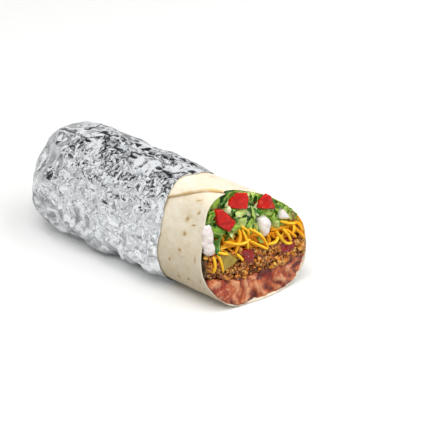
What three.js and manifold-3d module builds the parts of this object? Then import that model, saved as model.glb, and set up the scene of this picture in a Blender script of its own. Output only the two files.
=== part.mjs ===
// A large burrito lying on a table: a flour tortilla rolled round layers of beans, beef,
// cheese and lettuce, cut open at the front, with crumpled foil round the back two thirds.
// Millimetres. +X runs along the roll towards the open end, +Z is up, the table is z = 0.

import * as THREE from 'three';
import { mergeVertices } from 'three/addons/utils/BufferGeometryUtils.js';
import Module from 'manifold-3d';

const wasm = await Module();
wasm.setup();

// ---------- The roll ----------

const AXIS_HEIGHT = 36; // the roll's centre line above the table
// Radii of the roll every 30 degrees, from the far side over the top to the near side and under.
const FRONT_RADII = [34.6, 31.2, 30.1, 34.3, 45, 39.4, 38.4, 39.9, 40.4, 36.3, 39.5, 38.3];
const BACK_RADII = [35.5, 29.6, 27.8, 34.6, 41, 39.5, 38.5, 40.5, 40.5, 36, 39, 38.5];
const BACK_SECTION_X = 5; // behind this the roll has the back section
const FRONT_SECTION_X = 52; // ahead of this it has the front section
const SHOULDER_X = -66; // where the folded end starts to round off
const TIP_X = -109; // the very back of the roll
const TIP_FLATNESS = 5.7; // power of the end's curve along the roll
const TIP_ROUNDNESS = 1.6; // power of the end's curve across the roll
const TIP_DROP = 5; // the end's centre sinks by this much
const TOP_SLOPE = 0.18; // share of its height that the top loses towards the end
const TIP_STATIONS = 60; // the stations from the tip to the shoulder

// The end is pressed flat on its upper near side, where it was held while it was folded.
const PRESS_NORMAL = new THREE.Vector3(-0.498, -0.586, 0.639).normalize();
const PRESS_REACH = 93.9; // of the flat from the origin
const PRESS_SOFTNESS = 3; // how gently the flat runs out

// The cut face: a plane that is turned towards the near side and leans back.
const FACE_X = 63.5;
const FACE_TURN = Math.tan(THREE.MathUtils.degToRad(17));
const FACE_LEAN = Math.tan(THREE.MathUtils.degToRad(11));

const GAP = 0.3; // between pieces that touch
const TORTILLA_WALL = 1.5;
const FLAP_RISE = 1.2; // the outer end of the tortilla stands above the mean surface
const FLAP_DIP = 1; // and the layer beside it lies below
const FLAP_SPREAD = 120; // degrees over which each of them levels out
const FLAP_ANGLE = 134; // the flap's edge where it leaves the foil
const FLAP_START_X = 10;
const FLAP_TURN = 0.7; // degrees that the edge turns for each millimetre forward
const FLAP_FACE_X = 43; // where the edge meets the rim
const INNER_DEPTH = TORTILLA_WALL + FLAP_DIP;

const FOIL_WALL = 1;
const FOIL_EDGE_X = 11.5; // the foil's front edge
const FOIL_EDGE_TOP = 6.5; // it reaches this much further forward along the top
const FOIL_SEGMENTS = 52;
const TORTILLA_SEGMENTS = 48;

const UNDER_FOIL = FOIL_WALL + GAP + 0.2; // height of the tortilla's underside within the foil

const COLOURS = {
  foil: 0xc9cccf,
  tortilla: 0xeee3c8,
  beans: 0xb4674c,
  beef: 0x8a5528,
  cheese: 0xf6b52c,
  lettuce: 0x86ad3e,
  tomato: 0xcf2418,
  sour_cream: 0xf4f0ec,
  green_chile: 0xa39b3c,
  red_sauce: 0x8c1d14,
};

// ---------- Small mathematics ----------

const degrees = THREE.MathUtils.degToRad;

function smooth(value, from, to) {
  return THREE.MathUtils.smoothstep(value, from, to);
}

// The same draws each time for one seed.
function randomSource(seed) {
  let state = seed;
  const next = () => {
    state = (state * 1664525 + 1013904223) % 4294967296;
    return state / 4294967296;
  };
  return (low, high) => low + (high - low) * next();
}

// A smooth closed curve through radii at equal angles.
function radiusAt(radii, angle) {
  const step = 360 / radii.length;
  const place = THREE.MathUtils.euclideanModulo(angle, 360) / step;
  const index = Math.floor(place);
  const t = place - index;
  const at = (k) => radii[(index + k + radii.length) % radii.length];
  const [p0, p1, p2, p3] = [at(-1), at(0), at(1), at(2)];
  const linear = (p2 - p0) * t;
  const square = (2 * p0 - 5 * p1 + 4 * p2 - p3) * t * t;
  const cube = (3 * p1 - p0 - 3 * p2 + p3) * t * t * t;
  return 0.5 * (2 * p1 + linear + square + cube);
}

// Height along a line of [y, z] points, level beyond its ends.
function heightAlong(points, y) {
  if (y <= points[0][0]) return points[0][1];
  for (let i = 1; i < points.length; i++) {
    const [y0, z0] = points[i - 1];
    const [y1, z1] = points[i];
    if (y <= y1) return THREE.MathUtils.lerp(z0, z1, smooth(y, y0, y1));
  }
  return points[points.length - 1][1];
}

// A wave of straight slopes between -1 and 1, with a sharp fold at each end.
function fold(phase) {
  const t = phase - Math.floor(phase);
  return 4 * Math.abs(t - 0.5) - 1;
}

// ---------- The roll's surface ----------

function undersideAt(x) {
  return UNDER_FOIL * (1 - smooth(x, FOIL_EDGE_X + 2, FOIL_EDGE_X + 20));
}

function sectionRadius(x, angle) {
  const share = smooth(x, BACK_SECTION_X, FRONT_SECTION_X);
  return THREE.MathUtils.lerp(radiusAt(BACK_RADII, angle), radiusAt(FRONT_RADII, angle), share);
}

function pressed(point) {
  const excess = point.dot(PRESS_NORMAL) - PRESS_REACH;
  if (excess <= -PRESS_SOFTNESS) return point;
  const push = excess < PRESS_SOFTNESS ? (excess + PRESS_SOFTNESS) ** 2 / (4 * PRESS_SOFTNESS) : excess;
  return point.addScaledVector(PRESS_NORMAL, -push);
}

function rollPointAt(x, grow, angle) {
  const radius = sectionRadius(x, angle) * grow;
  const y = radius * Math.cos(degrees(angle));
  let rise = radius * Math.sin(degrees(angle)) - TIP_DROP * (1 - grow);
  if (rise > 0) rise *= 1 - TOP_SLOPE * smooth(-x, 60, 105);
  return pressed(new THREE.Vector3(x, y, Math.max(AXIS_HEIGHT + rise, undersideAt(x))));
}

// Stations count from the tip (0) over the rounded end, and then in millimetres along X.
function rollPoint(station, angle) {
  if (station >= TIP_STATIONS) return rollPointAt(SHOULDER_X + station - TIP_STATIONS, 1, angle);
  const turn = ((station / TIP_STATIONS) * Math.PI) / 2;
  const back = Math.cos(turn) ** (2 / TIP_FLATNESS);
  const grow = Math.sin(turn) ** (2 / TIP_ROUNDNESS);
  return rollPointAt(THREE.MathUtils.lerp(SHOULDER_X, TIP_X, back), grow, angle);
}

function rollNormal(station, angle) {
  const along = rollPoint(station + 1, angle).sub(rollPoint(Math.max(station - 1, 0.5), angle));
  const around = rollPoint(station, angle + 2).sub(rollPoint(station, angle - 2));
  return around.cross(along).normalize();
}

function offsetPoint(station, angle, offset) {
  const normal = rollNormal(station, angle);
  return rollPoint(station, angle).addScaledVector(normal, offset);
}

function stationOf(x) {
  return TIP_STATIONS + x - SHOULDER_X;
}

function faceX(y, z) {
  return FACE_X + y * FACE_TURN - z * FACE_LEAN;
}

// ---------- Closed meshes ----------

// A closed skin through rings of equally many points, with a pole before and after them.
function skin(firstPole, rings, lastPole) {
  const count = rings[0].length;
  const points = [firstPole, ...rings.flat(), lastPole];
  const last = points.length - 1;
  const faces = [];
  const at = (ring, k) => 1 + ring * count + (k % count);
  for (let k = 0; k < count; k++) {
    faces.push(0, at(0, k + 1), at(0, k));
    faces.push(last, at(rings.length - 1, k), at(rings.length - 1, k + 1));
    for (let ring = 0; ring + 1 < rings.length; ring++) {
      faces.push(at(ring, k), at(ring, k + 1), at(ring + 1, k));
      faces.push(at(ring, k + 1), at(ring + 1, k + 1), at(ring + 1, k));
    }
  }
  return indexedGeometry(points, faces);
}

// A thin closed sheet round a grid of points, with both faces split alike.
function sheet(grid, thickness) {
  const rows = grid.length;
  const columns = grid[0].length;
  const points = [];
  for (const side of [0.5, -0.5]) {
    for (let i = 0; i < rows; i++) {
      for (let j = 0; j < columns; j++) {
        const alongI = grid[Math.min(i + 1, rows - 1)][j].clone().sub(grid[Math.max(i - 1, 0)][j]);
        const alongJ = grid[i][Math.min(j + 1, columns - 1)].clone().sub(grid[i][Math.max(j - 1, 0)]);
        const normal = alongI.cross(alongJ).normalize();
        points.push(grid[i][j].clone().addScaledVector(normal, side * thickness));
      }
    }
  }
  const top = (i, j) => i * columns + j;
  const under = (i, j) => rows * columns + top(i, j);
  const faces = [];
  const quad = (a, b, c, d) => faces.push(a, b, c, a, c, d);
  for (let i = 0; i + 1 < rows; i++) {
    for (let j = 0; j + 1 < columns; j++) {
      quad(top(i, j), top(i + 1, j), top(i + 1, j + 1), top(i, j + 1));
      quad(under(i, j), under(i, j + 1), under(i + 1, j + 1), under(i + 1, j));
    }
    quad(top(i, 0), under(i, 0), under(i + 1, 0), top(i + 1, 0));
    const e = columns - 1;
    quad(top(i, e), top(i + 1, e), under(i + 1, e), under(i, e));
  }
  for (let j = 0; j + 1 < columns; j++) {
    quad(top(0, j), top(0, j + 1), under(0, j + 1), under(0, j));
    const e = rows - 1;
    quad(top(e, j), under(e, j), under(e, j + 1), top(e, j + 1));
  }
  return indexedGeometry(points, faces);
}

function indexedGeometry(points, faces) {
  const geometry = new THREE.BufferGeometry().setFromPoints(points);
  geometry.setIndex(faces);
  return geometry;
}

function toSolid(geometry) {
  const bare = geometry.clone();
  bare.deleteAttribute('normal');
  bare.deleteAttribute('uv');
  const merged = mergeVertices(bare, 1e-4);
  const vertProperties = new Float32Array(merged.attributes.position.array);
  const triVerts = new Uint32Array(merged.index.array);
  return new wasm.Manifold(new wasm.Mesh({ numProp: 3, vertProperties, triVerts }));
}

function toGeometry(solid) {
  const mesh = solid.getMesh();
  const geometry = new THREE.BufferGeometry();
  geometry.setAttribute('position', new THREE.BufferAttribute(new Float32Array(mesh.vertProperties), 3));
  geometry.setIndex(new THREE.BufferAttribute(new Uint32Array(mesh.triVerts), 1));
  return geometry;
}

const SLIVER = 0.1; // detail finer than this is closed up after a cut

// What is left of a solid in one piece, without the scraps that a cut leaves loose.
function largestPiece(solid) {
  const pieces = solid.simplify(SLIVER).decompose();
  return pieces.reduce((best, piece) => (piece.volume() > best.volume() ? piece : best));
}

function joined(solids) {
  return solids.reduce((sum, solid) => sum.add(solid));
}

function without(solid, others) {
  return others.reduce((rest, other) => rest.subtract(other), solid);
}

// ---------- Tortilla ----------

function flapAngle(x) {
  return FLAP_ANGLE - Math.max(x - FLAP_START_X, -60) * FLAP_TURN;
}

// How far the tortilla stands off the mean surface, `turn` degrees past the flap's edge.
function tortillaLift(x, turn) {
  const strength = 0.2 + 0.8 * smooth(x, -15, 20);
  const dip = -FLAP_DIP * (1 - smooth(turn, 0, FLAP_SPREAD));
  const rise = FLAP_RISE * smooth(turn, 360 - FLAP_SPREAD, 360);
  return strength * (dip + rise);
}

function rimWave(angle) {
  return 0.7 * Math.sin(degrees(3 * angle + 40)) + 0.5 * Math.sin(degrees(7 * angle));
}

// The rings run once round from the lower side of the flap's edge to its upper side.
const TURNS = Array.from({ length: TORTILLA_SEGMENTS }, (_, k) => (360 * k) / (TORTILLA_SEGMENTS - 1));
const FACE_ROWS_FROM_X = 12; // ahead of this the rings lean over to meet the cut face
const TIP = new THREE.Vector3(TIP_X, 0, AXIS_HEIGHT - TIP_DROP);

function tortillaPoint(station, x, turn, grow) {
  const atEdge = turn === 0 || turn === 360;
  const sideways = atEdge ? THREE.MathUtils.radToDeg(grow / AXIS_HEIGHT) : 0;
  const angle = flapAngle(x) + turn + sideways;
  const point = offsetPoint(station, angle, tortillaLift(x, turn) + grow);
  point.z = Math.max(point.z, undersideAt(point.x) - grow);
  return point;
}

// The outside of the tortilla from the tip to the rim, larger all round by `grow`.
function tortillaOuterRings(grow) {
  const tipRings = [8, 16, 25, 35, 46, 55].map((station) =>
    TURNS.map((turn) => tortillaPoint(station, SHOULDER_X, turn, grow)),
  );
  const bodyRings = [-66, -48, -30, -12, 2].map((x) =>
    TURNS.map((turn) => tortillaPoint(stationOf(x), x, turn, grow)),
  );
  const faceRings = [0, 0.2, 0.4, 0.6, 0.8, 0.93, 1].map((share) =>
    TURNS.map((turn) => {
      const x = THREE.MathUtils.lerp(FACE_ROWS_FROM_X, faceX(0, AXIS_HEIGHT), share);
      const flapX = THREE.MathUtils.lerp(FACE_ROWS_FROM_X, FLAP_FACE_X, share);
      const point = tortillaPoint(stationOf(x), flapX, turn, grow);
      const rimX = faceX(point.y, point.z) + rimWave(flapAngle(flapX) + turn);
      point.x = THREE.MathUtils.lerp(FACE_ROWS_FROM_X, rimX, share);
      point.z = Math.max(point.z, undersideAt(point.x) - grow);
      return point;
    }),
  );
  return [...tipRings, ...bodyRings, ...faceRings];
}

// The inside of the tortilla from the rim back to the tip, smaller all round by `shrink`.
function tortillaInnerRings(shrink) {
  const depth = INNER_DEPTH + shrink;
  const innerPoint = (station, x, turn) => offsetPoint(station, flapAngle(x) + turn, -depth);
  const faceRings = [1, 0.6, 0.2].map((share) =>
    TURNS.map((turn) => {
      const x = THREE.MathUtils.lerp(FACE_ROWS_FROM_X, faceX(0, AXIS_HEIGHT), share);
      const flapX = THREE.MathUtils.lerp(FACE_ROWS_FROM_X, FLAP_FACE_X, share);
      const point = innerPoint(stationOf(x), flapX, turn);
      const rimX = faceX(point.y, point.z) + rimWave(flapAngle(flapX) + turn);
      point.x = THREE.MathUtils.lerp(FACE_ROWS_FROM_X, rimX, share);
      return point;
    }),
  );
  const bodyRings = [-12, -40, -66].map((x) => TURNS.map((turn) => innerPoint(stationOf(x), x, turn)));
  const tipRings = [52, 42, 28, 14].map((station) => TURNS.map((turn) => innerPoint(station, SHOULDER_X, turn)));
  return [...faceRings, ...bodyRings, ...tipRings];
}

function tortilla() {
  const innerTip = TIP.clone().setX(TIP_X + INNER_DEPTH);
  return skin(TIP, [...tortillaOuterRings(0), ...tortillaInnerRings(0)], innerTip);
}

// The whole roll as one body, larger all round by `grow`.
function filledRoll(grow) {
  const back = TIP.clone().setX(TIP_X - grow);
  const front = new THREE.Vector3(faceX(0, AXIS_HEIGHT), 0, AXIS_HEIGHT);
  return toSolid(skin(back, tortillaOuterRings(grow), front));
}

// ---------- Foil ----------

// Each set of folds: waves round the roll, millimetres along it for one wave, start and height.
const FOIL_FOLDS = [
  { around: 5, along: 46, start: 0.15, height: 0.6 },
  { around: -7, along: 27, start: 0.4, height: 0.45 },
  { around: 9, along: -63, start: 0.7, height: 0.5 },
  { around: 4, along: -17, start: 0.55, height: 0.3 },
];

// Tucked pleats that run over the rounded end, each at an angle, with its height.
const FOIL_PLEATS = [
  { angle: 100, height: 1.2 },
  { angle: 214, height: 2 },
  { angle: 330, height: 2 },
  { angle: 35, height: 1.4 },
];
const PLEAT_STATION = 38; // a pleat is highest here
const PLEAT_RUN = 22; // and fades out this far along
const PLEAT_WIDTH = 17; // degrees to each side

function foilRelief(along, angle) {
  let relief = 0;
  for (const { around, along: run, start, height } of FOIL_FOLDS) {
    relief += height * fold((around * angle) / 360 + along / run + start);
  }
  return relief + foilPleat(along, angle);
}

function foilPleat(station, angle) {
  const along = Math.max(0, 1 - Math.abs(station - PLEAT_STATION) / PLEAT_RUN);
  const ridges = FOIL_PLEATS.map((pleat) => {
    const apart = Math.abs(THREE.MathUtils.euclideanModulo(angle - pleat.angle + 180, 360) - 180);
    return pleat.height * Math.max(0, 1 - apart / PLEAT_WIDTH);
  });
  return along * Math.max(...ridges);
}

function foilEdgeX(angle) {
  const turn = THREE.MathUtils.euclideanModulo(angle + 90, 360);
  const topSide = smooth(turn, 145, 178) * (1 - smooth(turn, 192, 206));
  const ragged = 0.9 * fold((3 * turn) / 360) + 0.7 * fold((8 * turn) / 360 + 0.3);
  return FOIL_EDGE_X + FOIL_EDGE_TOP * topSide + ragged;
}

// The foil lies on the tortilla and rounds off the step at the flap's edge.
function foilSeat(x, angle) {
  const turn = THREE.MathUtils.euclideanModulo(angle - flapAngle(x), 360);
  const bridge = 16;
  if (turn >= bridge) return tortillaLift(x, turn) + GAP;
  return THREE.MathUtils.lerp(tortillaLift(x, 360), tortillaLift(x, bridge), turn / bridge) + GAP;
}

const FOIL_SCATTER = 0.6; // each point of the foil lies this far off its folds at most
const FOIL_LEVEL = 0.6; // mean height of the folds above the flat foil
const FOIL_LOWEST = -0.35;

function foilPoint(x, station, angle, flatness, random) {
  const turned = angle + random(-1.6, 1.6);
  const nearTable = smooth(-Math.sin(degrees(turned)), 0.75, 0.9);
  const relief = FOIL_LEVEL + foilRelief(station, turned) + random(-FOIL_SCATTER, FOIL_SCATTER);
  const level = THREE.MathUtils.lerp(relief, 0.3, Math.max(nearTable, flatness));
  const offset = foilSeat(x, turned) + FOIL_WALL + Math.max(level, FOIL_LOWEST);
  const point = offsetPoint(station, turned, offset);
  point.z = Math.max(point.z, 0);
  return point;
}

function foil() {
  const angles = Array.from({ length: FOIL_SEGMENTS }, (_, k) => (360 * k) / FOIL_SEGMENTS);
  const random = randomSource(11);
  const rows = 12;
  const tipRings = [7, 14, 22, 30, 38, 46, 52, 57].map((station) =>
    angles.map((angle) => foilPoint(SHOULDER_X, station, angle, 0, random)),
  );
  const bodyRings = Array.from({ length: rows + 1 }, (_, row) =>
    angles.map((angle) => {
      const scatter = row > 0 && row < rows ? random(-1.2, 1.2) : 0;
      const x = THREE.MathUtils.lerp(SHOULDER_X, foilEdgeX(angle), row / rows) + scatter;
      return foilPoint(x, stationOf(x), angle, row === rows ? 1 : 0, random);
    }),
  );
  const insideEdge = angles.map((angle) => {
    const x = foilEdgeX(angle);
    return offsetPoint(stationOf(x), angle, -1);
  });
  const back = TIP.clone().setX(TIP_X - GAP - FOIL_WALL - FOIL_LEVEL);
  const front = new THREE.Vector3(FOIL_EDGE_X, 0, AXIS_HEIGHT);
  const whole = toSolid(skin(back, [...tipRings, ...bodyRings, insideEdge], front));
  return whole.subtract(filledRoll(GAP));
}

// ---------- Fillings ----------

const FILLING_CLEARANCE = 0.9; // from the fillings' corners to the tortilla's inside

// The space inside the tortilla, carried on ahead of the cut face.
function fillingSpace() {
  const everySecond = (ring) => ring.filter((_, k) => k % 2 === 0);
  const rings = tortillaInnerRings(FILLING_CLEARANCE).reverse().map(everySecond);
  const ahead = 14;
  const frontRing = rings[rings.length - 1].map((point) => point.clone().setX(point.x + ahead));
  const tip = TIP.clone().setX(TIP_X + INNER_DEPTH + FILLING_CLEARANCE);
  const front = new THREE.Vector3(faceX(0, AXIS_HEIGHT) + ahead, 0, AXIS_HEIGHT);
  return toSolid(skin(tip, [...rings, frontRing], front));
}

const SPACE = fillingSpace();

// Ahead of the rim, toppings may reach out over it.
const RIM_CLEARANCE = 1.6;
const corners = [[-60, -20], [60, -20], [60, 110], [-60, 110]];
const AHEAD_OF_RIM = wasm.Manifold.hull(
  [RIM_CLEARANCE, 14].flatMap((ahead) => corners.map(([y, z]) => [faceX(y, z) + ahead, y, z])),
);
const TOPPING_SPACE = joined([SPACE, AHEAD_OF_RIM]);

// Upper limits of the layers across the cut face, as [y, z].
const BEANS_TOP = [[-38, 25], [-29, 24], [-21, 19.5], [-8, 18], [12, 17.5], [24, 19.5], [34, 24.5]];
const BEEF_TOP = [[-38, 41], [-20, 38], [0, 33], [14, 33], [34, 31]];
const CHEESE_TOP = [[-38, 43], [-22, 47], [-5, 46], [5, 42], [16, 43], [34, 41]];

const LAYER_COLUMNS = 22; // alike in all layers, so that they meet face to face

// A layer between two heights through the whole roll, with a lumpy front.
function layer(lowerAt, upperAt, frontAt, up) {
  const across = LAYER_COLUMNS;
  const halfWidth = 46;
  const backX = TIP_X - 5;
  const points = [];
  const place = (i, j) => {
    const y = THREE.MathUtils.lerp(-halfWidth, halfWidth, i / across);
    return [y, THREE.MathUtils.lerp(lowerAt(y), upperAt(y), j / up)];
  };
  for (let i = 0; i <= across; i++) {
    for (let j = 0; j <= up; j++) {
      const [y, z] = place(i, j);
      points.push(new THREE.Vector3(faceX(y, z) + frontAt(y, z), y, z));
    }
  }
  for (let i = 0; i <= across; i++) {
    for (const j of [0, up]) {
      const [y, z] = place(i, j);
      points.push(new THREE.Vector3(backX, y, z));
    }
  }
  const front = (i, j) => i * (up + 1) + j;
  const back = (i, top) => (across + 1) * (up + 1) + 2 * i + top;
  const faces = [];
  const quad = (a, b, c, d) => faces.push(a, b, c, a, c, d);
  for (let i = 0; i < across; i++) {
    for (let j = 0; j < up; j++) quad(front(i, j), front(i + 1, j), front(i + 1, j + 1), front(i, j + 1));
    quad(back(i, 0), back(i, 1), back(i + 1, 1), back(i + 1, 0));
    quad(front(i, up), front(i + 1, up), back(i + 1, 1), back(i, 1));
    quad(front(i, 0), back(i, 0), back(i + 1, 0), front(i + 1, 0));
  }
  for (let j = 0; j < up; j++) {
    faces.push(back(0, 0), front(0, j), front(0, j + 1));
    faces.push(back(across, 0), front(across, j + 1), front(across, j));
  }
  faces.push(back(0, 0), front(0, up), back(0, 1));
  faces.push(back(across, 0), back(across, 1), front(across, up));
  return toSolid(indexedGeometry(points, faces));
}

function lumps(y, z, size, height) {
  const a = Math.sin(y / size + 1.3 * Math.sin(z / size));
  const b = Math.sin(z / (0.8 * size) - 0.7 * Math.sin(y / (1.4 * size)) + 2);
  return height * a * b;
}

// A place on the cut face, some way ahead of it.
function onFace(y, z, ahead) {
  return new THREE.Vector3(faceX(y, z) + ahead, y, z);
}

// Turns a piece made lying in the YZ plane: spin in the face, then tilt and swing.
function placed(geometry, position, spin, tilt = 0, swing = 0) {
  const turn = new THREE.Euler(degrees(spin), degrees(tilt), degrees(swing), 'ZYX');
  const matrix = new THREE.Matrix4().makeRotationFromEuler(turn).setPosition(position);
  return toSolid(geometry.clone().applyMatrix4(matrix));
}

// ---------- Toppings ----------

// A soft lump with uneven sides.
function dollop(depth, width, height, detail, unevenness, seed) {
  const random = randomSource(seed);
  const phases = [random(0, 6), random(0, 6), random(0, 6)];
  const geometry = mergeVertices(
    new THREE.IcosahedronGeometry(1, detail).deleteAttribute('normal').deleteAttribute('uv'),
    1e-4,
  );
  const position = geometry.attributes.position;
  const point = new THREE.Vector3();
  for (let i = 0; i < position.count; i++) {
    point.fromBufferAttribute(position, i);
    const wave =
      Math.sin(3 * point.y + phases[0]) + Math.sin(4 * point.z + phases[1]) + Math.sin(3 * point.x + phases[2]);
    point.multiplyScalar(1 + (unevenness * wave) / 3);
    point.multiply(new THREE.Vector3(depth / 2, width / 2, height / 2));
    position.setXYZ(i, point.x, point.y, point.z);
  }
  return geometry;
}

// Outlines on the cut face as [y, z, how far ahead of the face its front lies there].
// Hand-cut cubes of tomato: a broad slab, a block and a wedge with a ridge down its front.
const TOMATOES = [
  [[-23.7, 67.2, 2], [-19.5, 66.2, 2.6], [-12.8, 56.3, 3.6], [-17.9, 51, 3.4], [-23.9, 57.1, 2.6]],
  [[-13.8, 69.6, 2.4], [-9.1, 74, 2.6], [-1.6, 71.6, 2.8], [-1.4, 67.6, 3], [-4.1, 61.8, 3.2],
    [-9.6, 63.9, 3.4], [-13.6, 65.2, 2.8], [-15.2, 67.7, 2.4]],
  [[6.2, 65, 2.4], [10.4, 67.4, 3.2], [13.8, 64.4, 2.6], [15.7, 55, 2.2], [9, 58.3, 4.6],
    [3.9, 59.4, 2.4]],
];
const TOMATO_DEPTH = 9.5;

// Dollops of sour cream, each of one or two lobes, and the softer pieces.
const SOUR_CREAMS = [
  [
    [[-33.6, 61, 2.4], [-29, 60.2, 2.4], [-28, 54.4, 3], [-29.4, 47, 3.4], [-35.6, 47, 3], [-35.8, 55.5, 2.4]],
    [[-30, 51, 3], [-28.4, 45.2, 3.4], [-29, 40.2, 2.6], [-32.8, 39.6, 2.6], [-36.4, 42.6, 2.6], [-36.8, 50, 3]],
  ],
  [
    [[3, 52.6, 2.4], [7.3, 54.6, 2], [11, 50, 2.6], [10.6, 44.6, 3], [3.4, 45, 3]],
    [[3.4, 48, 3], [10.4, 46.4, 3], [8, 41.2, 2.6], [5, 39.4, 2.2], [3.6, 43, 2.6]],
  ],
  [[[20, 54.6, 1.6], [23.2, 51.2, 2], [24.8, 45.6, 2.2], [20.8, 46.6, 2.6], [16.9, 48.3, 2.2], [17.5, 51.9, 2]]],
];
const CREAM_DEPTH = 8;

const GREEN_CHILE = [
  [-24.5, 38.4, 2.6], [-19.7, 38, 2.8], [-13.5, 32, 2.2], [-16.8, 29.6, 2.6], [-24.8, 27.3, 3],
  [-27.3, 33.4, 2.8], [-26.9, 36.8, 2.4],
];
const CHILE_DEPTH = 5;

const RED_SAUCES = [
  [[-11.4, 36.2, 2], [-5, 35.8, 2.2], [-2.3, 32.2, 2.4], [-4, 26.2, 2.8], [-8, 26.4, 2.8], [-11, 30.5, 2.4]],
  [[13.3, 32.5, 2.2], [21.5, 34.4, 1.8], [27.6, 31, 2], [24.9, 25.8, 2.6], [19.2, 23.4, 2.8], [14.2, 27, 2.4]],
];
const SAUCE_DEPTH = 6;

// A convex body on an outline: sections are [share of the depth behind its front, scale].
function hullOn(outline, depth, sections, grow) {
  const middleY = outline.reduce((sum, [y]) => sum + y, 0) / outline.length;
  const middleZ = outline.reduce((sum, [, z]) => sum + z, 0) / outline.length;
  const points = [];
  for (const [y, z, ahead] of outline) {
    const reach = Math.hypot(y - middleY, z - middleZ);
    for (const [share, scale] of sections) {
      const wider = scale * (1 + grow / reach);
      const atY = middleY + (y - middleY) * wider;
      const atZ = middleZ + (z - middleZ) * wider;
      const point = onFace(atY, atZ, ahead - share * depth + grow * (1 - 2 * share));
      points.push(point.toArray());
    }
  }
  return wasm.Manifold.hull(points);
}

const CUT_SECTIONS = [[0, 0.93], [0.06, 1], [1, 0.92]]; // slightly rounded in front
const SOFT_SECTIONS = [[-0.16, 0.45], [-0.06, 0.8], [0.14, 1], [0.6, 0.98], [1, 0.7]];
const FLAT_SECTIONS = [[-0.06, 0.6], [0.04, 0.92], [0.2, 1], [1, 0.85]];

const BED = 0.4; // growth of a topping's shape where it cuts its bed

// ---------- Pieces of the heaps ----------

// A shred of cheese: a bent strip, given by its middle, length, heading in the face and bow.
function shred(middle, length, heading, bow, width, grow) {
  const steps = 4;
  const grid = [];
  const forward = new THREE.Vector3(0, Math.cos(degrees(heading)), Math.sin(degrees(heading)));
  const across = new THREE.Vector3(0, -forward.z, forward.y);
  for (let i = 0; i <= steps; i++) {
    const t = (2 * i) / steps - 1;
    const centre = middle.clone();
    centre.addScaledVector(forward, (t * (length + 2 * grow)) / 2);
    centre.addScaledVector(across, bow * (1 - t * t));
    centre.x += centre.y * FACE_TURN - centre.z * FACE_LEAN - (middle.y * FACE_TURN - middle.z * FACE_LEAN);
    centre.x -= 1.2 * t * t;
    grid.push([-1, 1].map((side) => centre.clone().addScaledVector(across, side * (width / 2 + grow))));
  }
  return toSolid(sheet(grid, width * 0.8 + 2 * grow));
}

// Every shred: the two that hang by the near side, then the tangled band across the middle.
function cheeseShreds(grow) {
  const random = randomSource(5);
  const width = 2.4;
  const shreds = [
    shred(onFace(-33.5, 35.5, 1.5), 13, 80, 1, width, grow),
    shred(onFace(-27, 33.5, 2), 15, 108, 1.2, width, grow),
  ];
  const bands = [
    { from: -21, to: 6, low: 35, high: 47, count: 8 },
    { from: 12, to: 31, low: 33, high: 43, count: 6 },
  ];
  for (const { from, to, low, high, count } of bands) {
    for (let i = 0; i < count; i++) {
      const y = THREE.MathUtils.lerp(from, to, (i + 0.5) / count) + random(-1.5, 1.5);
      const middle = onFace(y, random(low, high), random(1, 3.2));
      const heading = -25 + random(-65, 65);
      shreds.push(shred(middle, random(12, 19), heading, random(-2.5, 2.5), width, grow));
    }
  }
  return shreds;
}

// Crumbles of beef over the band between the beans and the cheese.
function beefCrumbles(grow) {
  const random = randomSource(23);
  const crumbles = [];
  const columns = 13;
  const rows = 2;
  for (let i = 0; i < columns; i++) {
    for (let j = 0; j < rows; j++) {
      const y = THREE.MathUtils.lerp(-34, 32, i / (columns - 1)) + random(-1.2, 1.2);
      const low = heightAlong(BEANS_TOP, y) + 1.5;
      const high = heightAlong(BEEF_TOP, y) - 1.5;
      const z = THREE.MathUtils.lerp(low, high, (j + random(0.2, 0.8)) / rows);
      const size = random(4.6, 7.4);
      const shape = dollop(size + 2 * grow, size * random(0.9, 1.25) + 2 * grow, size + 2 * grow, 0, 0.3, i + 31 * j);
      crumbles.push(placed(shape, onFace(y, z, random(-0.5, 1.4)), random(0, 90), random(0, 90)));
    }
  }
  return crumbles;
}

// A lettuce leaf shred: a wide wavy strip that stands out of the heap.
function leaf(middle, length, width, heading, lean, seed, grow) {
  const random = randomSource(seed);
  const phase = random(0, 6);
  const curl = random(-3, 3);
  const grid = [];
  const steps = 4;
  const columns = 2;
  const turn = new THREE.Euler(degrees(heading), degrees(lean), 0, 'ZYX');
  for (let i = 0; i <= steps; i++) {
    const row = [];
    for (let j = 0; j <= columns; j++) {
      const s = ((2 * i) / steps - 1) * (length / 2 + grow);
      const t = ((2 * j) / columns - 1) * (width / 2 + grow);
      const edge = Math.abs((2 * j) / columns - 1);
      const ruffle = 1.3 * edge * Math.sin((2.2 * s) / 4 + phase + j) + (curl * s * s) / (length * length);
      row.push(new THREE.Vector3(ruffle, s, t).applyEuler(turn).add(middle));
    }
    grid.push(row);
  }
  return toSolid(sheet(grid, 0.9 + 2 * grow));
}

// Leaves over the space above the cheese, by rows that follow the top of the roll.
function lettuceLeaves(grow) {
  const random = randomSource(41);
  const rows = [
    { z: 50, from: -27, to: 22, count: 4 },
    { z: 58, from: -26, to: 20, count: 4 },
    { z: 66, from: -22, to: 6, count: 3 },
  ];
  const leaves = [];
  for (const { z, from, to, count } of rows) {
    for (let i = 0; i < count; i++) {
      const y = THREE.MathUtils.lerp(from, to, (i + 0.5) / count) + random(-1.5, 1.5);
      const middle = onFace(y, z + random(-1.5, 1.5), random(1, 3));
      leaves.push(leaf(middle, random(11, 16), random(7, 10), random(-70, 70), random(-35, 35), 7 * i + z, grow));
    }
  }
  return leaves;
}

// ---------- Assembly ----------

const group = new THREE.Group();

function addNode(name, geometry, colour, roughness, metalness = 0) {
  const material = new THREE.MeshStandardMaterial({ color: colour, roughness, metalness });
  const mesh = new THREE.Mesh(geometry, material);
  mesh.name = name;
  group.add(mesh);
}

function addSolid(name, solid, colour, roughness, metalness) {
  addNode(name, toGeometry(largestPiece(solid)), colour, roughness, metalness);
}

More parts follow.
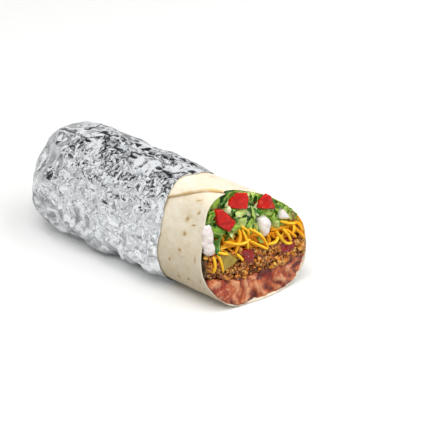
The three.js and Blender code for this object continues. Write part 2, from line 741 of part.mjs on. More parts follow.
addSolid('foil', foil(), COLOURS.foil, 0.25, 1);
addNode('tortilla', tortilla(), COLOURS.tortilla, 0.75);

// Toppings are cut only by the toppings before them, and the layers by all of them.
const beds = [];

function addTopping(name, makeSolid, colour, roughness) {
  const solid = without(makeSolid(0), beds).intersect(TOPPING_SPACE);
  addSolid(name, solid, colour, roughness);
  beds.push(makeSolid(BED));
}

TOMATOES.forEach((outline, i) => {
  const die = (grow) => hullOn(outline, TOMATO_DEPTH, CUT_SECTIONS, grow);
  addTopping(`tomato_${i + 1}`, die, COLOURS.tomato, 0.25);
});
SOUR_CREAMS.forEach((lobes, i) => {
  const cream = (grow) => joined(lobes.map((outline) => hullOn(outline, CREAM_DEPTH, SOFT_SECTIONS, grow)));
  addTopping(`sour_cream_${i + 1}`, cream, COLOURS.sour_cream, 0.4);
});
addTopping('green_chile', (grow) => hullOn(GREEN_CHILE, CHILE_DEPTH, FLAT_SECTIONS, grow), COLOURS.green_chile, 0.35);
RED_SAUCES.forEach((outline, i) => {
  const sauce = (grow) => hullOn(outline, SAUCE_DEPTH, FLAT_SECTIONS, grow);
  addTopping(`red_sauce_${i + 1}`, sauce, COLOURS.red_sauce, 0.15);
});

const heightFunction = (points, offset) => (y) => heightAlong(points, y) + offset;
const below = () => -5;
const above = () => 90;

const cheeseCore = layer(
  heightFunction(BEEF_TOP, GAP), heightFunction(CHEESE_TOP, 0),
  (y, z) => -1.5 + lumps(y, z, 3.5, 0.8), 3,
);
const cheese = without(joined([cheeseCore, ...cheeseShreds(0)]), beds).intersect(SPACE);
addSolid('cheese', cheese, COLOURS.cheese, 0.45);
beds.push(...cheeseShreds(GAP));

const beefCore = layer(
  heightFunction(BEANS_TOP, GAP), heightFunction(BEEF_TOP, 0),
  (y, z) => -1 + lumps(y, z, 2.6, 0.6), 3,
);
const beef = without(joined([beefCore, ...beefCrumbles(0)]), [...beds, cheeseCore]).intersect(SPACE);
addSolid('beef', beef, COLOURS.beef, 0.6);

const lettuceCore = layer(
  heightFunction(CHEESE_TOP, GAP), above,
  (y, z) => -1.5 + lumps(y, z, 4.5, 1.2), 6,
);
const leaves = lettuceLeaves(0);
const lettuce = without(joined([lettuceCore, ...leaves]), [...beds, cheeseCore]).intersect(SPACE);
addSolid('lettuce', lettuce, COLOURS.lettuce, 0.4);

const beansFront = (y, z) => {
  const angle = THREE.MathUtils.radToDeg(Math.atan2(z - AXIS_HEIGHT, y));
  const fromRim = radiusAt(FRONT_RADII, angle) - Math.hypot(y, z - AXIS_HEIGHT);
  const bulge = 1.9 * smooth(fromRim, 2.5, 10);
  return bulge + (lumps(y, z, 3.4, 1) + 0.8 * fold(y / 9 + z / 17)) * smooth(fromRim, 1, 5);
};
const beansCore = layer(below, heightFunction(BEANS_TOP, 0), beansFront, 7);
const beans = without(beansCore, [...beds, ...beefCrumbles(GAP)]).intersect(SPACE);
addSolid('beans', beans, COLOURS.beans, 0.5);

// The origin is at the middle of the part's underside.
const box = new THREE.Box3().setFromObject(group);
const middle = box.getCenter(new THREE.Vector3());
group.children.forEach((mesh) => mesh.position.set(-middle.x, -middle.y, -box.min.z));

export default group;
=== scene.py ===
"""Models a large burrito with its foil wrap, cut open at one end, and a plain studio stage.

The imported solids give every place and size. Lengths in the roll's own formulas are millimetres
along the roll (X), across it (Y) and up (Z); in_row() takes them to the part's frame in metres.
"""

import contextlib
import itertools
import math

import bpy
import numpy as np
from mathutils import Euler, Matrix, Vector, geometry, noise


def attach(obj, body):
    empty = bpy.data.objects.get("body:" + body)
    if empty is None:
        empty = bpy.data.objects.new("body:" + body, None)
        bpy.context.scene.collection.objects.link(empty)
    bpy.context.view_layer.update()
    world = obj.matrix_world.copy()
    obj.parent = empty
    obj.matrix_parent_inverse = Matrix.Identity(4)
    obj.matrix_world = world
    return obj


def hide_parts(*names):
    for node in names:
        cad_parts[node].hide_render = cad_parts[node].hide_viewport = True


bl_info = {
    "name": "Burrito Maker",
    "version": (1, 0, 0),
    "blender": (4, 5, 0),
    "location": "3D View > Sidebar > Burrito",
    "description": "Models a cut burrito: foil wrap, tortilla and layered fillings",
    "category": "Object",
}

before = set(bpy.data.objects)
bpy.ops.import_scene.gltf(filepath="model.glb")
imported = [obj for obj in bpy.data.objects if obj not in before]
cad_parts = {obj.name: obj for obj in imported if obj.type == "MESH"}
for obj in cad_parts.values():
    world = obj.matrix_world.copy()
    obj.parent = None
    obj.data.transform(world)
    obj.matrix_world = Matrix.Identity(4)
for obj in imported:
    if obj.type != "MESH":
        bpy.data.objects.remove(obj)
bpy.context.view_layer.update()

MM = 0.001
ROLL_ORIGIN = np.array([20.352, 0.948, 0.0])  # the roll's own zero, in the part's frame

# ---------- The roll: the same values as the solids ----------

AXIS_HEIGHT = 36.0
# Two cross-sections, by their radii every 30 degrees, and where along the roll they are.
FRONT_RADII = np.array([34.6, 31.2, 30.1, 34.3, 45, 39.4, 38.4, 39.9, 40.4, 36.3, 39.5, 38.3])
BACK_RADII = np.array([35.5, 29.6, 27.8, 34.6, 41, 39.5, 38.5, 40.5, 40.5, 36, 39, 38.5])
BACK_SECTION_X = 5.0
FRONT_SECTION_X = 52.0
# The rounded back end, its slope on top and the flat press on its upper near side.
SHOULDER_X = -66.0
TIP_X = -109.0
TIP_FLATNESS = 5.7
TIP_ROUNDNESS = 1.6
TIP_DROP = 5.0
TIP_STATIONS = 60.0
TOP_SLOPE = 0.18
TOP_SLOPE_FROM, TOP_SLOPE_TO = 60, 105
PRESS_NORMAL = np.array([-0.498, -0.586, 0.639]) / math.sqrt(0.498**2 + 0.586**2 + 0.639**2)
PRESS_REACH = 93.9
PRESS_SOFTNESS = 3.0
# The slanting cut face.
FACE_X = 63.5
FACE_TURN = math.tan(math.radians(17))
FACE_LEAN = math.tan(math.radians(11))
# The tortilla: its wall, and the flap that lies over its other end.
TORTILLA_WALL = 1.5
FLAP_ANGLE = 134
FLAP_ANGLE_X = 10.0
FLAP_SLANT = 0.7  # degrees for each millimetre along the roll
FLAP_SLANT_LENGTH = 60.0
FLAP_RISE = 1.2
FLAP_DIP = 1.0
FLAP_SPREAD = 120.0
FLAP_FACE_X = 43.0
INNER_DEPTH = TORTILLA_WALL + FLAP_DIP
RIM_WALL = 0.8  # the sheet's edge, which the wall behind it thickens from
RIM_DEPTH = 4.5  # the wall has its full thickness this far behind the rim
RIM_DOUBLE_FROM, RIM_DOUBLE_TO = 235, 300  # degrees from the flap: two layers thick beyond
FACE_ROWS_FROM_X = 12.0
# The foil.
FOIL_GAP = 0.3
FOIL_WALL = 1.0
FOIL_EDGE_X = 11.5
FOIL_EDGE_TOP = 6.5
UNDER_FOIL = 1.5
# The tops of the layers on the cut face, as (y, z).
BEANS_TOP = [(-38, 25), (-29, 24), (-21, 19.5), (-8, 18), (12, 17.5), (24, 19.5), (34, 24.5)]
BEEF_TOP = [(-38, 41), (-20, 38), (0, 33), (14, 33), (34, 31)]
CHEESE_TOP = [(-38, 43), (-22, 47), (-5, 46), (5, 42), (16, 43), (34, 41)]


def smooth(value, low, high):
    """A soft step from 0 at low to 1 at high."""
    t = np.clip((np.asarray(value, float) - low) / (high - low), 0, 1)
    return t * t * (3 - 2 * t)


def within(value, low, full, fading, high):
    """1 between full and fading, and softly down to 0 at low and high."""
    return smooth(value, low, full) * (1 - smooth(value, fading, high))


def mix(a, b, share):
    return a + (b - a) * share


def degrees_wave(turns, angle, start=0):
    """A wave with some turns round the roll."""
    return np.sin(np.radians(turns * angle + start))


def in_row(points):
    """Takes points of the roll, in millimetres, to the part's frame in metres."""
    return (np.asarray(points, float) + ROLL_ORIGIN) * MM


def in_roll(points):
    return np.asarray(points, float) / MM - ROLL_ORIGIN


def spline(p0, p1, p2, p3, t):
    """A smooth curve from p1 to p2, with p0 before and p3 after them."""
    linear = (p2 - p0) * t
    square = (2 * p0 - 5 * p1 + 4 * p2 - p3) * t * t
    cube = (3 * p1 - p0 - 3 * p2 + p3) * t * t * t
    return 0.5 * (2 * p1 + linear + square + cube)


def radius_at(radii, angle):
    """A smooth closed curve through radii at equal angles."""
    place = np.mod(angle, 360) / (360 / len(radii))
    index = np.floor(place).astype(int)
    return spline(*(radii[(index + k) % len(radii)] for k in (-1, 0, 1, 2)), place - index)


def underside_at(x):
    """The roll's lowest level, which leaves room for the foil under its back."""
    return UNDER_FOIL * (1 - smooth(x, FOIL_EDGE_X + 2, FOIL_EDGE_X + 20))


def pressed(points):
    """The end is pressed flat on its upper near side."""
    excess = points @ PRESS_NORMAL - PRESS_REACH
    soft = (excess + PRESS_SOFTNESS) ** 2 / (4 * PRESS_SOFTNESS)
    push = np.where(excess <= -PRESS_SOFTNESS, 0.0, np.where(excess < PRESS_SOFTNESS, soft, excess))
    return points - push[..., None] * PRESS_NORMAL


def roll_point(station, angle):
    """A point of the roll's mean surface. Stations count over the rounded end, then along X."""
    station, angle = np.broadcast_arrays(np.asarray(station, float), np.asarray(angle, float))
    turn = np.clip(station / TIP_STATIONS, 0, 1) * math.pi / 2
    back = np.maximum(np.cos(turn), 1e-9) ** (2 / TIP_FLATNESS)
    grow = np.where(station < TIP_STATIONS, np.sin(turn) ** (2 / TIP_ROUNDNESS), 1.0)
    tip_x = mix(SHOULDER_X, TIP_X, back)
    x = np.where(station < TIP_STATIONS, tip_x, SHOULDER_X + station - TIP_STATIONS)
    share = smooth(x, BACK_SECTION_X, FRONT_SECTION_X)
    radius = mix(radius_at(BACK_RADII, angle), radius_at(FRONT_RADII, angle), share) * grow
    y = radius * np.cos(np.radians(angle))
    rise = radius * np.sin(np.radians(angle)) - TIP_DROP * (1 - grow)
    rise = np.where(rise > 0, rise * (1 - TOP_SLOPE * smooth(-x, TOP_SLOPE_FROM, TOP_SLOPE_TO)), rise)
    return pressed(np.stack([x, y, np.maximum(AXIS_HEIGHT + rise, underside_at(x))], -1))


def offset_point(station, angle, offset):
    """A point at a distance outside the mean surface."""
    station, angle = np.broadcast_arrays(np.asarray(station, float), np.asarray(angle, float))
    along = roll_point(station + 1, angle) - roll_point(np.maximum(station - 1, 0.5), angle)
    around = roll_point(station, angle + 2) - roll_point(station, angle - 2)
    normal = np.cross(around, along)
    normal /= np.maximum(np.linalg.norm(normal, axis=-1, keepdims=True), 1e-9)
    return roll_point(station, angle) + normal * np.asarray(offset, float)[..., None]


def station_of(x):
    return TIP_STATIONS + x - SHOULDER_X


def face_x(y, z):
    """Where the cut face is, along the roll."""
    return FACE_X + y * FACE_TURN - z * FACE_LEAN


def flap_angle(x):
    """Where the flap's edge is, round the roll."""
    return FLAP_ANGLE - np.maximum(np.asarray(x, float) - FLAP_ANGLE_X, -FLAP_SLANT_LENGTH) * FLAP_SLANT


def flap_strength(x):
    """The share of the flap's step, which is pressed flatter towards the back."""
    return 0.2 + 0.8 * smooth(x, -15, 20)


def tortilla_lift(x, turn):
    """How far the sheet's outside is off the mean surface, by degrees from the flap's edge."""
    dip = -FLAP_DIP * (1 - smooth(turn, 0, FLAP_SPREAD))
    rise = FLAP_RISE * smooth(turn, 360 - FLAP_SPREAD, 360)
    return flap_strength(x) * (dip + rise)


def rim_x(points, angle):
    """Where the wavy rim of the tortilla is, along the roll."""
    wave = 0.7 * degrees_wave(3, angle, 40) + 0.5 * degrees_wave(7, angle)
    return face_x(points[:, 1], points[:, 2]) + wave


def height_along(points, y):
    """Height along a line of (y, z) points, level beyond its ends."""
    ys = [p[0] for p in points]
    zs = [p[1] for p in points]
    if y <= ys[0]:
        return zs[0]
    for k in range(1, len(ys)):
        if y <= ys[k]:
            return mix(zs[k - 1], zs[k], float(smooth(y, ys[k - 1], ys[k])))
    return zs[-1]


def rim_double(turn):
    """Where the flap lies over the sheet's other end, so that the rim is two layers thick."""
    return smooth(turn, RIM_DOUBLE_FROM, RIM_DOUBLE_TO)


def outside_reach(angle):
    """The tortilla's outside at the rim, from the roll's axis."""
    turn = np.mod(angle - float(flap_angle(FLAP_FACE_X)), 360)
    return radius_at(FRONT_RADII, angle) + tortilla_lift(FLAP_FACE_X, turn)


def mouth_reach(angle):
    """How far the fillings may reach from the roll's axis at the rim."""
    return outside_reach(angle) - RIM_WALL


def ahead_of_face(points):
    """How far points stand ahead of the cut face, along the roll."""
    return points[:, 0] - face_x(points[:, 1], points[:, 2])


def held_back(points, most):
    """Lets no point stand further ahead of the cut face than most."""
    points[:, 0] = np.minimum(points[:, 0], face_x(points[:, 1], points[:, 2]) + most)


def round_axis(points):
    """Angles round the roll's axis, and distances from it."""
    y, z = points[:, 1], points[:, 2] - AXIS_HEIGHT
    return np.degrees(np.arctan2(z, y)), np.hypot(y, z)


def spread_out(points, factor):
    """Moves points away from the roll's axis by a factor."""
    points[:, 1] *= factor
    points[:, 2] = AXIS_HEIGHT + (points[:, 2] - AXIS_HEIGHT) * factor


def inside_mouth(y, z, margin):
    """Whether a place on the cut face is inside the tortilla by a margin."""
    angle = math.degrees(math.atan2(z - AXIS_HEIGHT, y))
    return math.hypot(y, z - AXIS_HEIGHT) < float(mouth_reach(np.array(angle))) - margin


def rim_place(angle, inset):
    """A place on the cut face, as (y, z): an angle round the roll, an inset from the rim."""
    reach = float(mouth_reach(np.array(angle))) - inset
    turn = math.radians(angle)
    return reach * math.cos(turn), AXIS_HEIGHT + reach * math.sin(turn)


# ---------- Objects ----------


def only(piece):
    """Selects one object alone and makes it active."""
    bpy.ops.object.select_all(action="DESELECT")
    piece.select_set(True)
    bpy.context.view_layer.objects.active = piece
    return piece


def linked(name, data):
    """Puts new data into the scene as an object."""
    piece = bpy.data.objects.new(name, data)
    bpy.context.scene.collection.objects.link(piece)
    return only(piece)


@contextlib.contextmanager
def editing(piece):
    """Opens a piece in edit mode with all of it selected, and closes it again."""
    only(piece)
    bpy.ops.object.mode_set(mode="EDIT")
    bpy.ops.mesh.select_all(action="SELECT")
    yield
    bpy.ops.object.mode_set(mode="OBJECT")


def new_piece(name, points, faces):
    """Makes a mesh object from points in metres in the part's frame."""
    mesh = bpy.data.meshes.new(name)
    mesh.from_pydata(np.asarray(points, float).tolist(), [], [list(f) for f in faces])
    return linked(name, mesh)


def copy_of_node(node, name):
    """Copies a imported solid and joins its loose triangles."""
    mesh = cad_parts[node].data.copy()
    mesh.name = name
    mesh.materials.clear()
    piece = linked(name, mesh)
    with editing(piece):
        bpy.ops.mesh.remove_doubles(threshold=1e-6)
    return piece


def apply_modifier(piece, kind, **settings):
    only(piece)
    modifier = piece.modifiers.new(kind.title(), kind)
    for key, value in settings.items():
        setattr(modifier, key, value)
    bpy.ops.object.modifier_apply(modifier=modifier.name)


def join(pieces, name):
    only(pieces[0])
    for piece in pieces[1:]:
        piece.select_set(True)
    bpy.ops.object.join()
    pieces[0].name = name
    pieces[0].data.name = name
    return pieces[0]


def bisected(piece, x, keep_front):
    """Cuts a piece across the roll at x (row frame, metres) and closes the cut."""
    with editing(piece):
        bpy.ops.mesh.bisect(
            plane_co=(x, 0, 0),
            plane_no=(1, 0, 0),
            use_fill=True,
            clear_inner=keep_front,
            clear_outer=not keep_front,
        )
    return piece


def vectors_of(piece, kind):
    """The places ("co") or normals ("normal") of a piece's points."""
    values = np.zeros(len(piece.data.vertices) * 3, np.float32)
    piece.data.vertices.foreach_get(kind, values)
    return values.reshape(-1, 3).astype(float)


def roll_points_of(piece):
    """The points of a piece, in millimetres of the roll."""
    return in_roll(vectors_of(piece, "co"))


def moved_along_normals(piece, points, heights):
    """Moves a piece's points, in millimetres of the roll, along their normals."""
    set_points(piece, in_row(points + vectors_of(piece, "normal") * heights[:, None]))


def set_points(piece, points):
    piece.data.vertices.foreach_set("co", np.asarray(points, np.float32).ravel())
    piece.data.update()


def noise_at(points, size, seed):
    """Smooth noise between -1 and 1 at points in millimetres, for features of one size."""
    k = 1 / size
    return np.array([noise.noise(Vector((x * k + seed, y * k, z * k))) for x, y, z in points])


def smooth_shaded(piece, angle=None):
    only(piece)
    if angle is None:
        bpy.ops.object.shade_smooth()
    else:
        bpy.ops.object.shade_smooth_by_angle(angle=math.radians(angle))


def set_attribute(piece, name, values):
    attribute = piece.data.attributes.new(name, "FLOAT", "POINT")
    attribute.data.foreach_set("value", np.asarray(values, np.float32))


def set_uv(piece, name, places):
    """Gives each point of a piece its place on a texture."""
    uv = piece.data.uv_layers.new(name=name)
    corners = np.array([loop.vertex_index for loop in piece.data.loops])
    uv.data.foreach_set("uv", places[corners].ravel())


def handed_over(piece, material, nodes=()):
    """Gives a finished piece its material, hangs it under the root body and hides the solids that it stands
    for.
    """
    piece.data.materials.clear()
    piece.data.materials.append(material)
    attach(piece, "root")
    if nodes:
        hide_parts(*nodes)
    return piece


def soft_front(node, name, voxel, back_x):
    """A packed layer in two: its front, finely remeshed, and the rest behind back_x."""
    front = bisected(copy_of_node(node, name), back_x, True)
    apply_modifier(front, "REMESH", mode="VOXEL", voxel_size=voxel)
    return front, bisected(copy_of_node(node, name + "_back"), back_x, False)


# ---------- Materials ----------


def colour(red, green, blue):
    """A colour as a painter reads it (0 to 1), made linear for the shader."""
    linear = [c / 12.92 if c <= 0.04045 else ((c + 0.055) / 1.055) ** 2.4 for c in (red, green, blue)]
    return (*linear, 1.0)


class Recipe:
    """A node tree that is built up step by step."""

    def __init__(self, tree):
        self.tree = tree

    def add(self, kind, inputs=None, **settings):
        node = self.tree.nodes.new(kind)
        for key, value in settings.items():
            setattr(node, key, value)
        for key, value in (inputs or {}).items():
            self.feed(node.inputs[key], value)
        return node

    def feed(self, socket, value):
        if isinstance(value, bpy.types.NodeSocket):
            self.tree.links.new(value, socket)
        else:
            socket.default_value = value

    def group(self, tree, **inputs):
        node = self.tree.nodes.new("ShaderNodeGroup")
        node.node_tree = tree
        for key, value in inputs.items():
            self.feed(node.inputs[key.replace("_", " ")], value)
        return node.outputs

    def math(self, operation, a, b=0.0, c=0.0):
        return self.add("ShaderNodeMath", {0: a, 1: b, 2: c}, operation=operation).outputs[0]

    def times(self, a, b):
        return self.math("MULTIPLY", a, b)

    def larger(self, a, b):
        return self.math("MAXIMUM", a, b)

    def range(self, value, low, high, to_low=0.0, to_high=1.0):
        inputs = {"Value": value, "From Min": low, "From Max": high, "To Min": to_low, "To Max": to_high}
        return self.add("ShaderNodeMapRange", inputs, interpolation_type="SMOOTHSTEP").outputs["Result"]

    def blend(self, share, a, b):
        return self.add("ShaderNodeMix", {0: share, 6: a, 7: b}, data_type="RGBA").outputs[2]

    def ramp(self, value, tones):
        """Colours in a row, from (place, colour) pairs."""
        node = self.add("ShaderNodeValToRGB", {"Fac": value})
        stops = node.color_ramp.elements
        while len(stops) < len(tones):
            stops.new(0.5)
        for stop, (where, tone) in zip(stops, tones):
            stop.position, stop.color = where, tone
        return node.outputs[0]

    def noise(self, place, scale, detail=3.0, roughness=0.55):
        inputs = {"Vector": place, "Scale": scale, "Detail": detail, "Roughness": roughness}
        return self.add("ShaderNodeTexNoise", inputs).outputs[0]

    def cells(self, place, scale, feature="F1", output="Distance"):
        inputs = {"Vector": place, "Scale": scale}
        return self.add("ShaderNodeTexVoronoi", inputs, feature=feature).outputs[output]

    def vector(self, operation, a, b):
        return self.add("ShaderNodeVectorMath", {0: a, 1: b}, operation=operation).outputs[0]

    def parts(self, vector):
        return self.add("ShaderNodeSeparateXYZ", {0: vector}).outputs

    def ray(self, kind):
        return self.add("ShaderNodeLightPath").outputs[f"Is {kind} Ray"]

    def place(self):
        return self.add("ShaderNodeTexCoord").outputs["Object"]

    def scaled(self, place, scale, turn=(0, 0, 0)):
        inputs = {"Vector": place, "Scale": scale, "Rotation": turn}
        return self.add("ShaderNodeMapping", inputs).outputs[0]

    def attribute(self, name):
        return self.add("ShaderNodeAttribute", attribute_name=name).outputs["Fac"]

    def sheet(self, name):
        return self.add("ShaderNodeUVMap", uv_map=name).outputs[0]

    def each_island(self):
        return self.add("ShaderNodeNewGeometry").outputs["Random Per Island"]

    def bump(self, height, distance, strength):
        inputs = {"Height": height, "Distance": distance, "Strength": strength}
        return self.add("ShaderNodeBump", inputs).outputs[0]

    def mottled(self, place, scale, sharpness, first, second):
        inputs = {"Place": place, "Scale": scale, "Sharpness": sharpness, "First": first, "Second": second}
        return self.group(mottle_group(), **inputs)

    def moist(self, place, scale):
        return self.group(moist_grain_group(), Place=place, Scale=scale)["Height"]


class Finish(Recipe):
    """A new material, with constants set on its Principled shader."""

    def __init__(self, name, **constants):
        self.material = bpy.data.materials.new(name)
        self.material.use_nodes = True
        super().__init__(self.material.node_tree)
        self.shader = self.tree.nodes["Principled BSDF"]
        for key, value in constants.items():
            self.shader.inputs[key.replace("_", " ")].default_value = value

    def done(self, **fed):
        """Feeds the shader and gives the finished material."""
        for key, value in fed.items():
            self.feed(self.shader.inputs[key.replace("_", " ")], value)
        return self.material


def make_group(name, inputs, outputs):
    tree = bpy.data.node_groups.new(name, "ShaderNodeTree")
    for label, kind, value in inputs:
        socket = tree.interface.new_socket(label, in_out="INPUT", socket_type=kind)
        if value is not None:
            socket.default_value = value
    for label, kind in outputs:
        tree.interface.new_socket(label, in_out="OUTPUT", socket_type=kind)
    recipe = Recipe(tree)
    return recipe, recipe.add("NodeGroupInput").outputs, recipe.add("NodeGroupOutput").inputs


VECTOR, FLOAT, COLOUR = "NodeSocketVector", "NodeSocketFloat", "NodeSocketColor"


def mottle_group():
    """Soft patches of one colour in another, with a finer grain inside them."""
    tree = bpy.data.node_groups.get("Mottle")
    if tree:
        return tree
    inputs = [
        ("Place", VECTOR, None),
        ("Scale", FLOAT, 100.0),
        ("Sharpness", FLOAT, 0.5),
        ("First", COLOUR, None),
        ("Second", COLOUR, None),
    ]
    recipe, given, out = make_group("Mottle", inputs, [("Colour", COLOUR), ("Share", FLOAT)])
    broad = recipe.noise(given["Place"], given["Scale"], 4.0, 0.6)
    fine = recipe.noise(given["Place"], recipe.times(given["Scale"], 4.3), 2.0)
    both = recipe.math("MULTIPLY_ADD", fine, 0.35, recipe.times(broad, 0.65))
    half = recipe.times(recipe.math("SUBTRACT", 1.0, given["Sharpness"]), 0.3)
    share = recipe.range(both, recipe.math("SUBTRACT", 0.5, half), recipe.math("ADD", 0.501, half))
    recipe.feed(out["Colour"], recipe.blend(share, given["First"], given["Second"]))
    recipe.feed(out["Share"], share)
    return recipe.tree


def toasted_spot_group():
    """One toasted blister on the sheet: a browned middle in a paler ring."""
    tree = bpy.data.node_groups.get("Toasted spot")
    if tree:
        return tree
    inputs = [
        ("Place", VECTOR, None),
        ("Middle", VECTOR, None),
        ("Turn", VECTOR, None),
        ("Size", VECTOR, (0.002, 0.002, 1.0)),
    ]
    recipe, given, out = make_group("Toasted spot", inputs, [("Brown", FLOAT), ("Tan", FLOAT)])
    apart = recipe.vector("SUBTRACT", given["Place"], given["Middle"])
    turning = {"Vector": apart, "Rotation": given["Turn"]}
    turned = recipe.add("ShaderNodeVectorRotate", turning, rotation_type="EULER_XYZ").outputs[0]
    unit = recipe.vector("DIVIDE", turned, given["Size"])
    away = recipe.add("ShaderNodeVectorMath", {0: unit}, operation="LENGTH").outputs["Value"]
    wobble = recipe.noise(given["Place"], 900.0, 2.0)
    uneven = recipe.math("MULTIPLY_ADD", recipe.math("SUBTRACT", wobble, 0.5), 1.3, away)
    recipe.feed(out["Brown"], recipe.range(uneven, 0.25, 1.0, 1.0, 0.0))
    recipe.feed(out["Tan"], recipe.range(uneven, 0.7, 2.1, 1.0, 0.0))
    return recipe.tree


def moist_grain_group():
    """Height of a moist, uneven surface: soft lumps with fine pits."""
    tree = bpy.data.node_groups.get("Moist grain")
    if tree:
        return tree
    inputs = [("Place", VECTOR, None), ("Scale", FLOAT, 300.0)]
    recipe, given, out = make_group("Moist grain", inputs, [("Height", FLOAT)])
    lumps = recipe.noise(given["Place"], given["Scale"], 4.0, 0.6)
    pits = recipe.cells(given["Place"], recipe.times(given["Scale"], 2.6))
    recipe.feed(out["Height"], recipe.math("MULTIPLY_ADD", pits, 0.3, lumps))
    return recipe.tree


# ---------- Settings ----------


def colour_setting(name, description, *tone):
    return bpy.props.FloatVectorProperty(
        name=name, description=description, subtype="COLOR", size=4, default=colour(*tone)
    )


class FoilSettings(bpy.types.PropertyGroup):
    crumple: bpy.props.FloatProperty(
        name="Crumple", description="Height of the foil's creases, as a share", default=1.0, min=0, max=2
    )
    thickness: bpy.props.FloatProperty(
        name="Thickness", description="Thickness of the folded foil", default=0.00025, unit="LENGTH"
    )
    tint: colour_setting("Tint", "Colour of the metal", 0.93, 0.94, 0.95)


class TortillaSettings(bpy.types.PropertyGroup):
    dough: colour_setting("Dough", "Colour of the sheet", 0.965, 0.925, 0.84)
    toast: colour_setting("Toast", "Colour of the browned spots", 0.50, 0.34, 0.15)


class FillingSettings(bpy.types.PropertyGroup):
    crumbles: bpy.props.IntProperty(
        name="Crumbles", description="Number of beef crumbles on the cut face", default=620, min=0
    )
    leaves: bpy.props.IntProperty(
        name="Leaves", description="Number of lettuce shreds on the cut face", default=104, min=0
    )
    shred_width: bpy.props.FloatProperty(
        name="Shred width", description="Width of a cheese shred", default=0.0024, unit="LENGTH"
    )


class StageSettings(bpy.types.PropertyGroup):
    key_power: bpy.props.FloatProperty(
        name="Key light", description="Power of the large overhead light", default=7.0, unit="POWER"
    )
    floor: colour_setting("Floor", "Colour of the floor", 0.97, 0.97, 0.965)


SETTINGS = {
    "burrito_foil": FoilSettings,
    "burrito_tortilla": TortillaSettings,
    "burrito_filling": FillingSettings,
    "burrito_stage": StageSettings,
}

# ---------- Tortilla ----------

SHEET_COLUMNS = 216
FACE_ROWS = 56
FACE_MIDDLE_X = float(face_x(0, AXIS_HEIGHT))
SHEET_RADIUS = 0.038  # carries an angle round the roll to a length on the sheet
# The flap's rounded edge: share of the step down, millimetres beyond the edge.
FLAP_NOSE = [(0.05, 0.35), (0.22, 0.75), (0.5, 0.95), (0.78, 0.7), (0.95, 0.1)]

# Toasted spots: x along the roll, angle round it, half sizes along and round, degrees turned.
TOASTED_SPOTS = [
    (37.0, 137.0, 1.0, 1.1, 0),
    (29.7, 145.0, 1.3, 1.6, 20),
    (35.3, 148.0, 1.6, 0.5, -10),
    (30.1, 158.0, 1.1, 1.7, 30),
    (28.4, 175.0, 0.9, 1.6, 35),
    (40.4, 178.0, 0.5, 2.4, 5),
    (25.5, 206.0, 0.8, 1.9, 10),
    (33.5, 203.0, 0.9, 1.2, 0),
    (43.3, 199.0, 0.5, 1.0, 0),
    (45.0, 206.0, 0.6, 0.8, 0),
    (34.0, 127.5, 2.2, 0.35, 0),
    (20.0, 190.0, 0.8, 1.0, 0),
]


def sheet_place(x, angle):
    """Where a place on the roll lies on the flat sheet, in metres."""
    turn = (angle - float(flap_angle(x))) % 360
    return (x * MM, math.radians(turn) * SHEET_RADIUS, 0.0)


def sheet_ring(x):
    """One ring of the outside, from the flap's lower side round to its upper side and nose."""
    turns = np.linspace(0, 360, SHEET_COLUMNS)
    angles = flap_angle(x) + turns
    lift = tortilla_lift(x, turns)
    strength = float(flap_strength(x))
    nose_lift = [lift[-1] - share * (strength * (FLAP_RISE + FLAP_DIP)) for share, _ in FLAP_NOSE]
    nose_angle = [angles[-1] + math.degrees(out * strength / AXIS_HEIGHT) for _, out in FLAP_NOSE]
    return np.concatenate([angles, nose_angle]), np.concatenate([lift, nose_lift])


def slanted_ring(share, angles, offset):
    """One ring of the front, which slants with the cut face by a share."""
    x = mix(FACE_ROWS_FROM_X, FACE_MIDDLE_X, share)
    points = offset_point(station_of(x), angles, offset)
    points[:, 0] = mix(FACE_ROWS_FROM_X, rim_x(points, angles), share)
    return points


